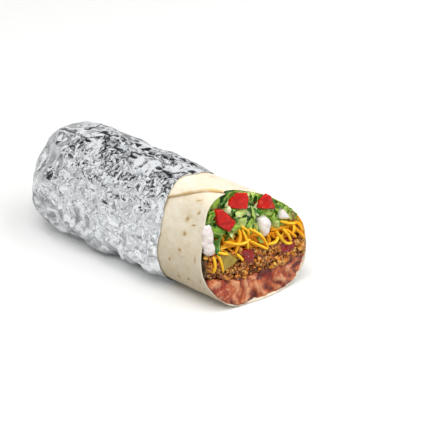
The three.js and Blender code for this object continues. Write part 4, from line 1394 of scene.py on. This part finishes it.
class BURRITO_OT_beef(bpy.types.Operator):
    """Heaps the ground beef on the beans"""

    bl_idname = "burrito.beef"
    bl_label = "Ground beef"

    def execute(self, context):
        bed = uneven_bed("beef", 0.0006, 0.05, [(0.7, 2.6, 12), (0.4, 1.2, 3)], 2.0)
        # Painted shade: the bed between the crumbs is mostly darkened, as shade in the gaps.
        set_attribute(bed, "recess_shade", np.full(len(bed.data.vertices), 0.85))
        handed_over(bed, self.meat("Beef in the gaps"), ["beef"])
        random = np.random.default_rng(BEEF_SEED)
        rim = [rim_place(angle, RIM_CRUMB_INSET) for angle in RIM_CRUMBS]
        places = [on_face(y, z, RIM_CRUMB_AHEAD) for y, z in rim]
        sizes = [RIM_CRUMB_SIZE] * len(places)
        count = context.scene.burrito_filling.crumbles
        while len(places) < count:
            y = random.uniform(-34.5, 34.5)
            low = height_along(BEANS_TOP, y) + 0.2 + 1.2 * noise.noise(Vector((y / 3, 0.3, 1.1)))
            high = height_along(BEEF_TOP, y) + 0.8
            z = random.uniform(low, high)
            share = len(places) / count
            size = mix(random.uniform(3.2, 4.8), random.uniform(1.8, 3.0), min(1.0, share * 1.5))
            if not inside_mouth(y, z, size * 0.6) or under_topping(y, z, -0.3):
                continue
            ahead = random.uniform(-2.0, 1.6) + 1.0 * share
            if not inside_mouth(y, z, 4.5):
                ahead = min(ahead, 0.0)
            places.append(on_face(y, z, ahead))
            sizes.append(size)
        crumbs = scattered("beef_crumbles", places, sizes)
        ahead = ahead_of_face(roll_points_of(crumbs))
        # Painted shade: crumbs that lie further back are darkened.
        set_attribute(crumbs, "recess_shade", 0.94 * (1 - smooth(ahead, -1.0, 1.9)))
        smooth_shaded(crumbs, 70)
        handed_over(crumbs, self.meat("Fried beef"))
        return {"FINISHED"}

    def meat(self, name):
        recipe = Finish(name, Roughness=0.4, Specular_IOR_Level=0.3, Coat_Weight=0.55, Coat_Roughness=0.16)
        place = recipe.place()
        crumb = recipe.ramp(recipe.each_island(), BEEF_TONES)
        grain = recipe.noise(place, 800.0, 4.0, 0.65)
        fried = recipe.blend(recipe.range(grain, 0.34, 0.54), colour(0.26, 0.10, 0.04), crumb)
        # Painted highlights: small cream specks stand in for glints on the crumbs.
        glint_specks = recipe.range(recipe.noise(place, 620.0, 3.0, 0.7), 0.56, 0.64, 0.0, 0.85)
        glinted = recipe.blend(glint_specks, fried, colour(0.97, 0.80, 0.48))
        return recipe.done(
            # The near-black colour is the painted shade of the gaps and recesses.
            Base_Color=recipe.blend(recipe.attribute("recess_shade"), glinted, colour(0.15, 0.06, 0.025)),
            Normal=recipe.bump(grain, 0.0006, 0.8),
        )


TOPPINGS = [f"tomato_{k}" for k in (1, 2, 3)] + [f"sour_cream_{k}" for k in (1, 2, 3)]
TOPPINGS += ["green_chile", "red_sauce_1", "red_sauce_2"]


class ToppingOutline:
    """A topping's outline on the cut face, and how far ahead of the face it stands."""

    def __init__(self, node):
        points = roll_points_of(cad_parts[node])
        ahead = ahead_of_face(points)
        near = points[ahead > ahead.max() - 5][:, 1:]
        self.ahead = float(np.percentile(ahead, 80))
        self.corners = near[geometry.convex_hull_2d([Vector(p) for p in near])]

    def covers(self, y, z, spare):
        """Whether places on the face are inside the outline, grown by some millimetres."""
        following = np.roll(self.corners, -1, axis=0)
        inside = np.ones(np.shape(y), bool)
        for (y0, z0), (y1, z1) in zip(self.corners, following):
            across = (y1 - y0) * (z - z0) - (z1 - z0) * (y - y0)
            inside &= across >= -spare * math.hypot(y1 - y0, z1 - z0)
        return inside


OUTLINES = [ToppingOutline(node) for node in TOPPINGS]


def under_topping(y, z, spare):
    return any(bool(outline.covers(y, z, spare)) for outline in OUTLINES)


def tucked_under(points, spare, limit):
    """Holds points back where a topping lies over them, or would be hidden by them."""
    ahead = ahead_of_face(points)
    y, z = points[:, 1], points[:, 2]
    for outline in OUTLINES:
        higher = ahead - outline.ahead
        seen_y, seen_z = y + SEEN_ASIDE[0] * higher, z + SEEN_ASIDE[1] * higher
        covered = outline.covers(y, z, spare)
        covered |= outline.covers(seen_y, seen_z, spare) & (higher > -3.0)
        ahead = np.where(covered, np.minimum(ahead, limit), ahead)
    points[:, 0] = face_x(y, z) + ahead


CHEESE_SEED = 5
SHREDS_BELOW = 46
# Shreds that lie against the tortilla: their paths, and how far ahead of the face.
RIM_SHREDS = [
    ([(30.5, 45.5), (32.3, 41.0), (32.9, 36.5)], 0.6),
    ([(28.6, 42.5), (31.6, 38.0), (33.5, 33.5)], 1.0),
    ([(31.0, 40.0), (33.2, 35.5), (33.9, 30.5)], 0.2),
    ([(28.0, 37.5), (31.2, 34.0), (33.4, 29.0)], 1.1),
]
# Shreds that lie on top, by their paths on the cut face.
CHEESE_SHREDS = [
    [(-11.3, 51.4), (-11.5, 46.7), (-14.1, 41.2), (-16.0, 36.0)],
    [(-9.3, 50.2), (-8.1, 43.4), (-7.5, 36.8)],
    [(-21.7, 45.9), (-16.6, 43.1), (-10.7, 41.6), (-5.5, 42.5)],
    [(-5.0, 49.3), (0.9, 43.6), (3.9, 37.7), (6.0, 32.7)],
    [(-6.2, 41.7), (-1.2, 37.3), (4.9, 32.6)],
    [(-10.0, 52.5), (-6.2, 48.6), (-5.7, 44.7)],
    [(6.3, 34.8), (11.0, 35.3), (13.6, 37.6)],
    [(13.1, 41.6), (15.6, 35.4), (18.5, 31.7), (22.4, 30.9)],
    [(17.6, 41.7), (19.8, 37.2), (22.0, 32.1)],
    [(18.7, 41.3), (22.2, 37.4), (25.7, 33.6)],
    [(17.2, 46.6), (22.0, 43.9), (28.0, 41.9)],
    [(25.8, 40.3), (28.8, 34.9), (31.6, 30.1)],
    [(27.9, 43.0), (29.9, 37.7), (30.2, 35.5)],
    [(25.1, 41.8), (24.1, 36.9)],
    [(-31.6, 39.8), (-31.9, 34.1), (-33.3, 29.6)],
    [(-28.0, 39.5), (-26.7, 31.7), (-25.8, 27.1)],
    [(-27.4, 40.8), (-21.3, 37.8)],
    [(-15.5, 35.8), (-12.4, 30.5)],
]


def even_line(path, count):
    """A smooth line through a few points, at equal steps of its own length."""
    corners = np.array([path[0], *path, path[-1]], float)
    fine = []
    for k in range(len(corners) - 3):
        fine += [spline(*corners[k : k + 4], t) for t in np.linspace(0, 1, 12, endpoint=False)]
    fine = np.array([*fine, corners[-1]])
    reach = np.concatenate([[0], np.cumsum(np.linalg.norm(np.diff(fine, axis=0), axis=1))])
    steps = np.linspace(0, reach[-1], count)
    return np.stack([np.interp(steps, reach, fine[:, i]) for i in range(fine.shape[1])], -1)


def strands(name, lines, width, thickness):
    """Round-edged strips along lines in the part's frame, made as one curve and then a mesh."""
    curve = bpy.data.curves.new(name, "CURVE")
    curve.dimensions = "3D"
    curve.bevel_depth = thickness / 2
    curve.extrude = (width - thickness) / 2
    curve.bevel_resolution = 0
    curve.resolution_u = 3
    curve.use_fill_caps = True
    for points, tilt in lines:
        strip = curve.splines.new("NURBS")
        strip.points.add(len(points) - 1)
        for k, point in enumerate(points):
            strip.points[k].co = (*point, 1.0)
            strip.points[k].tilt = tilt * (0.6 + 0.4 * k / len(points))
            strip.points[k].radius = 0.6 if k in (0, len(points) - 1) else 1.0
        strip.order_u = 3
        strip.use_endpoint_u = True
    linked(name, curve)
    bpy.ops.object.convert(target="MESH")
    piece = bpy.context.active_object
    smooth_shaded(piece, 40)
    return piece


class BURRITO_OT_cheese(bpy.types.Operator):
    """Strews the shredded cheese over the beef"""

    bl_idname = "burrito.cheese"
    bl_label = "Shredded cheese"

    def execute(self, context):
        random = np.random.default_rng(CHEESE_SEED)
        width = context.scene.burrito_filling.shred_width
        bed = uneven_bed("cheese", 0.0006, 0.045, [(0.6, 3.2, 21), (0.3, 1.4, 8)], 1.2)
        handed_over(bed, self.cheddar("Cheese in the gaps", 0.0), ["cheese"])
        under = []
        for _ in range(SHREDS_BELOW):
            low, high = (11, 31) if random.choice([0, 1], p=[0.62, 0.38]) else (-23, 7)
            y = random.uniform(low, high)
            z = random.uniform(height_along(BEEF_TOP, y) - 0.5, height_along(CHEESE_TOP, y) + 1)
            heading = math.radians(random.uniform(-80, 40))
            length = random.uniform(8, 15)
            under.append(self.line(y, z, heading, length, random.uniform(-0.8, 1.0), random))
        under = [line for line in under if line]
        for path, ahead in RIM_SHREDS:
            line = [in_row(on_face(y, z, ahead)) for y, z in even_line(path, 5)]
            under.append((line, math.radians(90)))
        below = strands("cheese_below", under, width * 0.95, 0.0017)
        handed_over(below, self.cheddar("Cheese under the top", 0.35))
        top = []
        for k, path in enumerate(CHEESE_SHREDS):
            line = even_line(path, 9)
            middle = (len(line) - 1) / 2
            sway, phase = random.uniform(0.1, 0.35), random.uniform(0, 6)
            points = []
            for i, (y, z) in enumerate(line):
                t = (i - middle) / middle
                ahead = 2.3 + 0.25 * (k % 5) + 1.1 * (1 - t * t) + sway * math.sin(2.5 * t + phase)
                points.append(in_row(on_face(y, z, ahead)))
            top.append((points, math.radians(90 + random.uniform(-20, 20))))
        upper = strands("cheese_shreds", top, width * 1.05, 0.0018)
        handed_over(upper, self.cheddar("Cheddar", 1.0))
        return {"FINISHED"}

    def line(self, y, z, heading, length, ahead, random):
        """A bowed shred round a place on the cut face, if it stays inside the tortilla."""
        points = []
        bow = random.uniform(-2.0, 2.0)
        for t in (-1, -0.4, 0.4, 1):
            s = t * length / 2
            at_y = y + s * math.cos(heading) - bow * (1 - t * t) * math.sin(heading)
            at_z = z + s * math.sin(heading) + bow * (1 - t * t) * math.cos(heading)
            if not inside_mouth(at_y, at_z, 1.6):
                return None
            points.append(in_row(on_face(at_y, at_z, ahead - 0.8 * t * t)))
        return points, math.radians(90 + random.uniform(-40, 40))

    def cheddar(self, name, light):
        recipe = Finish(
            name,
            Roughness=0.4,
            IOR=1.44,
            Specular_IOR_Level=0.35,
            Subsurface_Weight=0.15,
            Subsurface_Scale=0.002,
            Subsurface_Radius=(1.0, 0.6, 0.15),
        )
        place = recipe.place()
        each = recipe.range(recipe.each_island(), 0.0, 0.75)
        tone = recipe.blend(each, colour(0.98, 0.66, 0.09), colour(1.0, 0.83, 0.22))
        patches = recipe.mottled(place, 170.0, 0.2, tone, colour(0.98, 0.72, 0.13))
        mixed = recipe.blend(0.5, tone, patches["Colour"])
        return recipe.done(
            Base_Color=recipe.blend((1 - light) * 0.55, mixed, colour(0.88, 0.48, 0.08)),
            Normal=recipe.bump(recipe.moist(place, 500.0), 0.0003, 0.4),
        )


LETTUCE_SEED = 41
LEAF_TONES = [
    (0.0, colour(0.93, 0.95, 0.80)),
    (0.22, colour(0.78, 0.86, 0.50)),
    (0.45, colour(0.60, 0.74, 0.24)),
    (0.7, colour(0.30, 0.53, 0.16)),
    (1.0, colour(0.11, 0.33, 0.11)),
]
LEAF_ROWS, LEAF_COLUMNS = 11, 6
# Leaves with a place of their own: y, z, ahead, length, width, heading, lean, twist, greenness.
NAMED_LEAVES = [
    (-15.0, 65.5, 1.6, 10, 5.0, 96, 10, 10, 0.12),
    (-7.0, 60.2, 2.6, 12, 5.0, -12, -20, 10, 0.25),
    (-21.5, 69.0, 1.0, 10, 7.0, 40, 10, -10, 0.45),
    (-12.0, 73.0, 0.6, 15, 6.0, -8, 25, 0, 0.55),
    (3.0, 66.6, 0.8, 10, 6.0, 60, 10, 20, 0.35),
    (3.4, 59.0, 1.4, 9, 4.5, 96, -10, 0, 0.08),
    (11.0, 53.5, 2.2, 14, 7.0, -25, -25, 0, 0.4),
    (19.5, 53.5, 1.8, 12, 7.0, 100, 0, 25, 0.42),
    (-28.0, 60.0, 1.2, 11, 7.0, 70, 0, 10, 0.4),
    (-24.5, 52.0, 2.0, 12, 8.0, -30, 10, -20, 0.6),
    (-25.5, 44.5, 2.2, 13, 6.0, 82, 0, 15, 0.8),
    (-2.0, 50.5, 0.4, 12, 8.0, -50, 0, 0, 1.0),
    (-9.5, 56.5, 1.4, 12, 6.0, -35, -10, 10, 0.75),
    (1.0, 50.0, 1.2, 11, 6.5, -60, 0, 0, 0.95),
    (-31.0, 57.0, 0.6, 9, 5.0, 80, 0, 0, 0.7),
    (14.0, 47.5, 1.2, 10, 5.0, 80, 0, 0, 0.6),
    (26.6, 54.6, 0.2, 9, 5.0, -55, 0, 12, 0.5),
    (29.4, 50.2, 0.3, 9, 5.2, -62, 0, -12, 0.65),
    (31.0, 45.4, 0.1, 8, 4.8, -72, 0, 12, 0.45),
]


def leaf_points(length, width, random):
    """A ruffled strip of leaf, lying in the YZ plane, with its texture places."""
    phase, curl, cup = random.uniform(0, 6.28), random.uniform(-0.35, 0.35), random.uniform(0.05, 0.4)
    wave, skew = random.uniform(0.7, 1.3), random.uniform(-0.25, 0.25)
    points, places = [], []
    for i, j in itertools.product(range(LEAF_ROWS), range(LEAF_COLUMNS)):
        s = 2 * i / (LEAF_ROWS - 1) - 1
        t = 2 * j / (LEAF_COLUMNS - 1) - 1
        ragged = 1 - 0.35 * s * s + 0.12 * math.sin(5 * s + phase + 2 * t)
        y = s * length / 2 + skew * t * width
        z = t * width / 2 * ragged
        ruffle = 0.9 * abs(t) ** 1.5 * math.sin(4.2 * wave * s + phase + (1.5 if t > 0 else 0))
        x = ruffle + curl * length * s * s - cup * width * t * t * 0.5
        points.append((x, y, z))
        places.append(((s + 1) / 2, (t + 1) / 2))
    faces = []
    for i, j in itertools.product(range(LEAF_ROWS - 1), range(LEAF_COLUMNS - 1)):
        a = i * LEAF_COLUMNS + j
        b = a + LEAF_COLUMNS
        faces.append((a, b, b + 1, a + 1))
    return np.array(points), np.array(places), faces


class BURRITO_OT_lettuce(bpy.types.Operator):
    """Fills the top with shredded lettuce"""

    bl_idname = "burrito.lettuce"
    bl_label = "Lettuce"

    def execute(self, context):
        bed = uneven_bed("lettuce", 0.0007, 0.045, [(0.9, 4.0, 33), (0.4, 1.8, 4)], 2.2)
        set_attribute(bed, "green", np.full(len(bed.data.vertices), 1.0))
        handed_over(bed, self.leaf_green("Lettuce in the gaps", 0.45), ["lettuce"])
        self.leaves(context)
        return {"FINISHED"}

    def leaves(self, context):
        random = np.random.default_rng(LETTUCE_SEED)
        chosen = [*NAMED_LEAVES, *self.rim_leaves(random)]
        while len(chosen) < context.scene.burrito_filling.leaves:
            y, z = random.uniform(-33, 28), random.uniform(43, 77)
            if z < height_along(CHEESE_TOP, y) + 1 or not inside_mouth(y, z, 1.6):
                continue
            covered = under_topping(y, z, 1.0)
            ahead = random.uniform(-2.5, -1.0) if covered else random.uniform(-2.0, 2.0)
            green = float(np.clip(random.normal(0.55, 0.3), 0, 1))
            length, width = random.uniform(9, 15), random.uniform(5.5, 9.5)
            turns = random.uniform(-90, 90), random.uniform(-40, 40), random.uniform(-45, 45)
            chosen.append((y, z, ahead, length, width, *turns, green))
        parts, uvs, greens = [], [], []
        for y, z, ahead, length, width, *turns, green in chosen:
            corners, places, faces = leaf_points(length, width, random)
            turn = np.array(Euler([math.radians(a) for a in turns], "XYZ").to_matrix())
            parts.append((corners @ turn.T + on_face(y, z, ahead), faces))
            uvs.append(places)
            greens.append(np.full(len(corners), green))
        points, faces = gathered(parts)
        keep_inside(points)
        tucked_under(points, 0.4, -0.3)
        held_back(points, 4.0)
        piece = new_piece("lettuce_leaves", in_row(points), faces)
        set_attribute(piece, "green", np.concatenate(greens))
        set_uv(piece, "Leaf", np.concatenate(uvs))
        apply_modifier(piece, "SOLIDIFY", thickness=0.0004, offset=0.0)
        apply_modifier(piece, "SUBSURF", levels=1, render_levels=1)
        smooth_shaded(piece)
        handed_over(piece, self.leaf_green("Lettuce", 1.0))

    def rim_leaves(self, random):
        """Leaves along the rim, with the values of the named ones."""
        leaves = []
        for angle in np.linspace(18, 150, 22):
            y, z = rim_place(angle, random.uniform(1.5, 3.0))
            green = float(np.clip(random.normal(0.5, 0.2), 0, 1))
            ahead, length = random.uniform(-1.5, 0.3), random.uniform(7, 11)
            width, heading = random.uniform(4.5, 7), angle - 90 + random.uniform(-25, 25)
            lean, twist = random.uniform(-25, 25), random.uniform(-30, 30)
            leaves.append((y, z, ahead, length, width, heading, lean, twist, green))
        return leaves

    def leaf_green(self, name, light):
        recipe = Finish(
            name,
            Roughness=0.36,
            IOR=1.4,
            Coat_Weight=0.2,
            Coat_Roughness=0.15,
            Subsurface_Weight=0.12,
            Subsurface_Scale=0.0015,
            Subsurface_Radius=(0.5, 1.0, 0.2),
        )
        place = recipe.place()
        uneven = recipe.math("SUBTRACT", recipe.noise(place, 260.0), 0.5)
        green = recipe.math("MULTIPLY_ADD", uneven, 0.7, recipe.attribute("green"))
        across = recipe.math("SUBTRACT", recipe.parts(recipe.sheet("Leaf"))[1], 0.5)
        rib = recipe.range(recipe.math("ABSOLUTE", across), 0.02, 0.09, 0.5, 0.0)
        tone = recipe.blend(rib, recipe.ramp(green, LEAF_TONES), colour(0.84, 0.90, 0.62))
        if light < 1:
            tone = recipe.blend(1 - light, tone, colour(0.03, 0.12, 0.03))
        ridges = recipe.cells(place, 330.0, "DISTANCE_TO_EDGE")
        grain = recipe.math("MULTIPLY_ADD", recipe.noise(place, 700.0, 2.0), 0.5, ridges)
        return recipe.done(Base_Color=tone, Normal=recipe.bump(grain, 0.0004, 0.5))


class BURRITO_OT_toppings(bpy.types.Operator):
    """Sets the diced tomatoes, the sour cream, the green chile and the red sauce"""

    bl_idname = "burrito.toppings"
    bl_label = "Toppings"

    def execute(self, context):
        # Slot and last word of the name, numbers, look, voxel, rounds of smoothing, relief, its size.
        kinds = [
            ("tomato", "dice", ("_1", "_2", "_3"), self.tomato_flesh(), 0.0004, 2, 0.22, 4.5),
            ("sour_cream", "dollop", ("_1", "_2", "_3"), self.cream(), 0.00045, 24, 0.6, 4.5),
            ("green_chile", "piece", ("",), self.chile_skin(), 0.0004, 4, 0.3, 2.4),
            ("red_sauce", "pool", ("_1", "_2"), self.sauce(), 0.00045, 8, 0.5, 2.6),
        ]
        for slot, word, numbers, look, *softness in kinds:
            for number in numbers:
                node = slot + number
                piece = self.softened(node, f"{slot}_{word}{number}", *softness)
                handed_over(piece, look, [node])
        return {"FINISHED"}

    def softened(self, node, name, voxel, rounds, relief, size):
        """A topping's solid with its facets rounded off and its surface made uneven."""
        piece = copy_of_node(node, name)
        apply_modifier(piece, "REMESH", mode="VOXEL", voxel_size=voxel)
        apply_modifier(piece, "SMOOTH", factor=0.6, iterations=rounds)
        points = roll_points_of(piece)
        seed = 3.0 * len(name) + float(points[0][1])
        uneven = relief * noise_at(points, size, seed) + 0.25 * relief * noise_at(points, size * 0.4, seed)
        moved_along_normals(piece, points, uneven)
        smooth_shaded(piece)
        return piece

    def tomato_flesh(self):
        recipe = Finish(
            "Diced tomato",
            Roughness=0.28,
            Specular_IOR_Level=0.2,
            Coat_Weight=0.35,
            Coat_Roughness=0.08,
            Subsurface_Weight=0.1,
            Subsurface_Scale=0.002,
            Subsurface_Radius=(1.0, 0.2, 0.1),
        )
        place = recipe.place()
        stretched = recipe.scaled(place, (1, 0.45, 1.6), (0.7, 0, 0.4))
        red = recipe.mottled(stretched, 230.0, 0.3, colour(0.66, 0.01, 0.01), colour(0.88, 0.12, 0.06))
        pale = recipe.range(recipe.noise(recipe.scaled(place, (1, 0.35, 1)), 520.0), 0.56, 0.72)
        return recipe.done(
            Base_Color=recipe.blend(recipe.times(pale, 0.5), red["Colour"], colour(0.94, 0.42, 0.30)),
            Normal=recipe.bump(recipe.moist(place, 380.0), 0.0004, 0.35),
        )

    def cream(self):
        recipe = Finish(
            "Sour cream",
            Roughness=0.28,
            Coat_Weight=0.3,
            Coat_Roughness=0.15,
            Subsurface_Weight=0.25,
            Subsurface_Scale=0.004,
        )
        place = recipe.place()
        white = recipe.mottled(place, 140.0, 0.1, colour(0.955, 0.925, 0.92), colour(0.92, 0.875, 0.855))
        normal = recipe.bump(recipe.noise(place, 330.0), 0.0006, 0.5)
        return recipe.done(Base_Color=white["Colour"], Normal=normal)

    def chile_skin(self):
        recipe = Finish(
            "Green chile",
            Roughness=0.25,
            Coat_Weight=0.4,
            Coat_Roughness=0.12,
            Subsurface_Weight=0.1,
            Subsurface_Scale=0.002,
        )
        place = recipe.place()
        olive = recipe.mottled(place, 260.0, 0.35, colour(0.58, 0.49, 0.11), colour(0.72, 0.62, 0.23))
        normal = recipe.bump(recipe.moist(place, 420.0), 0.0005, 0.5)
        return recipe.done(Base_Color=olive["Colour"], Normal=normal)

    def sauce(self):
        recipe = Finish(
            "Chile sauce",
            Roughness=0.14,
            Specular_IOR_Level=0.2,
            Coat_Weight=0.9,
            Coat_Roughness=0.05,
            Subsurface_Weight=0.1,
            Subsurface_Scale=0.002,
        )
        place = recipe.place()
        dark = recipe.mottled(place, 240.0, 0.3, colour(0.42, 0.04, 0.03), colour(0.70, 0.12, 0.05))
        normal = recipe.bump(recipe.noise(place, 420.0), 0.0007, 0.6)
        return recipe.done(Base_Color=dark["Colour"], Normal=normal)


# ---------- Stage ----------

FLOOR_SIZE = 9.0
FLOOR_DROP = 0.0003
CAMERA_TURN = math.radians(40)
CAMERA_RISE = math.radians(32)
CAMERA_DISTANCE = 1.2
CAMERA_LENS = 163.0
# The camera looks at a place in the roll's middle, a little towards its cut end.
CAMERA_TARGET = in_row([16.9 * math.cos(CAMERA_TURN) + 0.43, 16.9 * math.sin(CAMERA_TURN) - 0.51, 36.94])


class BURRITO_OT_stage(bpy.types.Operator):
    """Sets the pale floor, the soft lights and the camera"""

    bl_idname = "burrito.stage"
    bl_label = "Stage"

    def execute(self, context):
        settings = context.scene.burrito_stage
        bpy.ops.object.select_all(action="DESELECT")
        bpy.ops.mesh.primitive_plane_add(size=FLOOR_SIZE, location=(0, 0, -FLOOR_DROP))
        floor = bpy.context.active_object
        floor.name = "floor"
        bpy.ops.object.transform_apply(location=True, rotation=True, scale=True)
        recipe = Finish("Pale floor", Roughness=0.75)
        # Shiny things see the floor with darker cards on it, as they would in a studio.
        cards = recipe.range(recipe.noise(recipe.place(), 40.0, 2.0), 0.34, 0.68)
        darker = recipe.times(recipe.times(cards, recipe.ray("Glossy")), 0.8)
        seen = recipe.blend(darker, tuple(settings.floor), colour(0.3, 0.3, 0.3))
        # The light it throws back is softened, so that the shaded side stays shaded.
        thrown = recipe.times(recipe.ray("Diffuse"), 0.8)
        dimmed = recipe.blend(thrown, seen, colour(0.55, 0.50, 0.42))
        floor.data.materials.append(recipe.done(Base_Color=dimmed))
        self.camera()
        self.light("key", (0.55, 0.5, 1.1), (0.02, 0.0, 0.04), 0.9, 0.7, settings.key_power * 0.8)
        self.light("front", (1.15, 0.0, 0.75), (0.07, 0.0, 0.04), 0.6, 0.5, settings.key_power * 0.62)
        top = self.light("top", (0.1, -0.5, 1.35), (0.0, 0.0, 0.04), 1.1, 0.9, settings.key_power * 2.0)
        top.visible_glossy = False
        self.world()
        context.scene.view_settings.view_transform = "Standard"
        return {"FINISHED"}

    def camera(self):
        turn, rise = CAMERA_TURN, CAMERA_RISE
        back = Vector((math.sin(turn) * math.cos(rise), -math.cos(turn) * math.cos(rise), math.sin(rise)))
        data = bpy.data.cameras.new("camera")
        data.lens = CAMERA_LENS
        data.sensor_width = 36.0
        data.clip_end = 50.0
        camera = linked("camera", data)
        camera.location = Vector(CAMERA_TARGET) + back * CAMERA_DISTANCE
        camera.rotation_euler = (-back).to_track_quat("-Z", "Y").to_euler()
        bpy.context.scene.camera = camera

    def light(self, name, place, aim, width, height, power):
        data = bpy.data.lights.new(name, "AREA")
        data.shape = "RECTANGLE"
        data.size = width
        data.size_y = height
        data.energy = power
        light = linked(name, data)
        light.location = place
        light.rotation_euler = (Vector(aim) - Vector(place)).to_track_quat("-Z", "Y").to_euler()
        return light

    def world(self):
        """Even light for matt things; shiny ones see a dark room with bright panels."""
        world = bpy.data.worlds.new("studio")
        world.use_nodes = True
        bpy.context.scene.world = world
        recipe = Recipe(world.node_tree)
        direction = recipe.add("ShaderNodeTexCoord").outputs["Generated"]
        _, side, height = recipe.parts(direction)
        cloudy = recipe.range(recipe.noise(direction, 5.5, 2.0), 0.4, 0.58, 0.03, 1.0)
        uneven = recipe.range(recipe.noise(direction, 10.0, 2.0), 0.36, 0.6, 0.22, 1.0)
        walls = recipe.times(uneven, recipe.range(height, 0.02, 0.34, 0.6, 0.0))
        lower = recipe.times(uneven, recipe.range(height, 0.55, 0.2))
        near = recipe.times(recipe.range(side, -0.3, -0.75), lower)
        overhead = recipe.range(height, 0.86, 0.97, 0.0, 1.0)
        brightest = recipe.larger(recipe.larger(cloudy, overhead), recipe.larger(walls, near))
        shiny = recipe.ray("Glossy")
        even = recipe.times(recipe.math("SUBTRACT", 1.0, shiny), 0.38)
        total = recipe.math("MULTIPLY_ADD", brightest, shiny, even)
        seen = recipe.times(recipe.ray("Camera"), 1.1)
        background = world.node_tree.nodes["Background"]
        recipe.feed(background.inputs["Strength"], recipe.larger(total, seen))
        recipe.feed(background.inputs["Color"], (1.0, 1.0, 1.0, 1.0))


class BURRITO_PT_maker(bpy.types.Panel):
    """Lists the burrito's pieces and their settings"""

    bl_idname = "BURRITO_PT_maker"
    bl_label = "Burrito"
    bl_space_type = "VIEW_3D"
    bl_region_type = "UI"
    bl_category = "Burrito"

    def draw(self, context):
        for piece in PIECES:
            self.layout.operator(piece.bl_idname)
        for name, settings in SETTINGS.items():
            box = self.layout.box()
            for key in settings.__annotations__:
                box.prop(getattr(context.scene, name), key)


PIECES = [
    BURRITO_OT_stage,
    BURRITO_OT_tortilla,
    BURRITO_OT_foil,
    BURRITO_OT_beans,
    BURRITO_OT_beef,
    BURRITO_OT_cheese,
    BURRITO_OT_lettuce,
    BURRITO_OT_toppings,
]


def register():
    for settings in SETTINGS.values():
        bpy.utils.register_class(settings)
    for piece in PIECES:
        bpy.utils.register_class(piece)
    bpy.utils.register_class(BURRITO_PT_maker)
    for name, settings in SETTINGS.items():
        setattr(bpy.types.Scene, name, bpy.props.PointerProperty(type=settings))


def unregister():
    for name in SETTINGS:
        delattr(bpy.types.Scene, name)
    bpy.utils.unregister_class(BURRITO_PT_maker)
    for piece in reversed(PIECES):
        bpy.utils.unregister_class(piece)
    for settings in reversed(list(SETTINGS.values())):
        bpy.utils.unregister_class(settings)


def main():
    register()
    for piece in PIECES:
        group, name = piece.bl_idname.split(".")
        getattr(getattr(bpy.ops, group), name)()


if __name__ == "__main__":
    main()
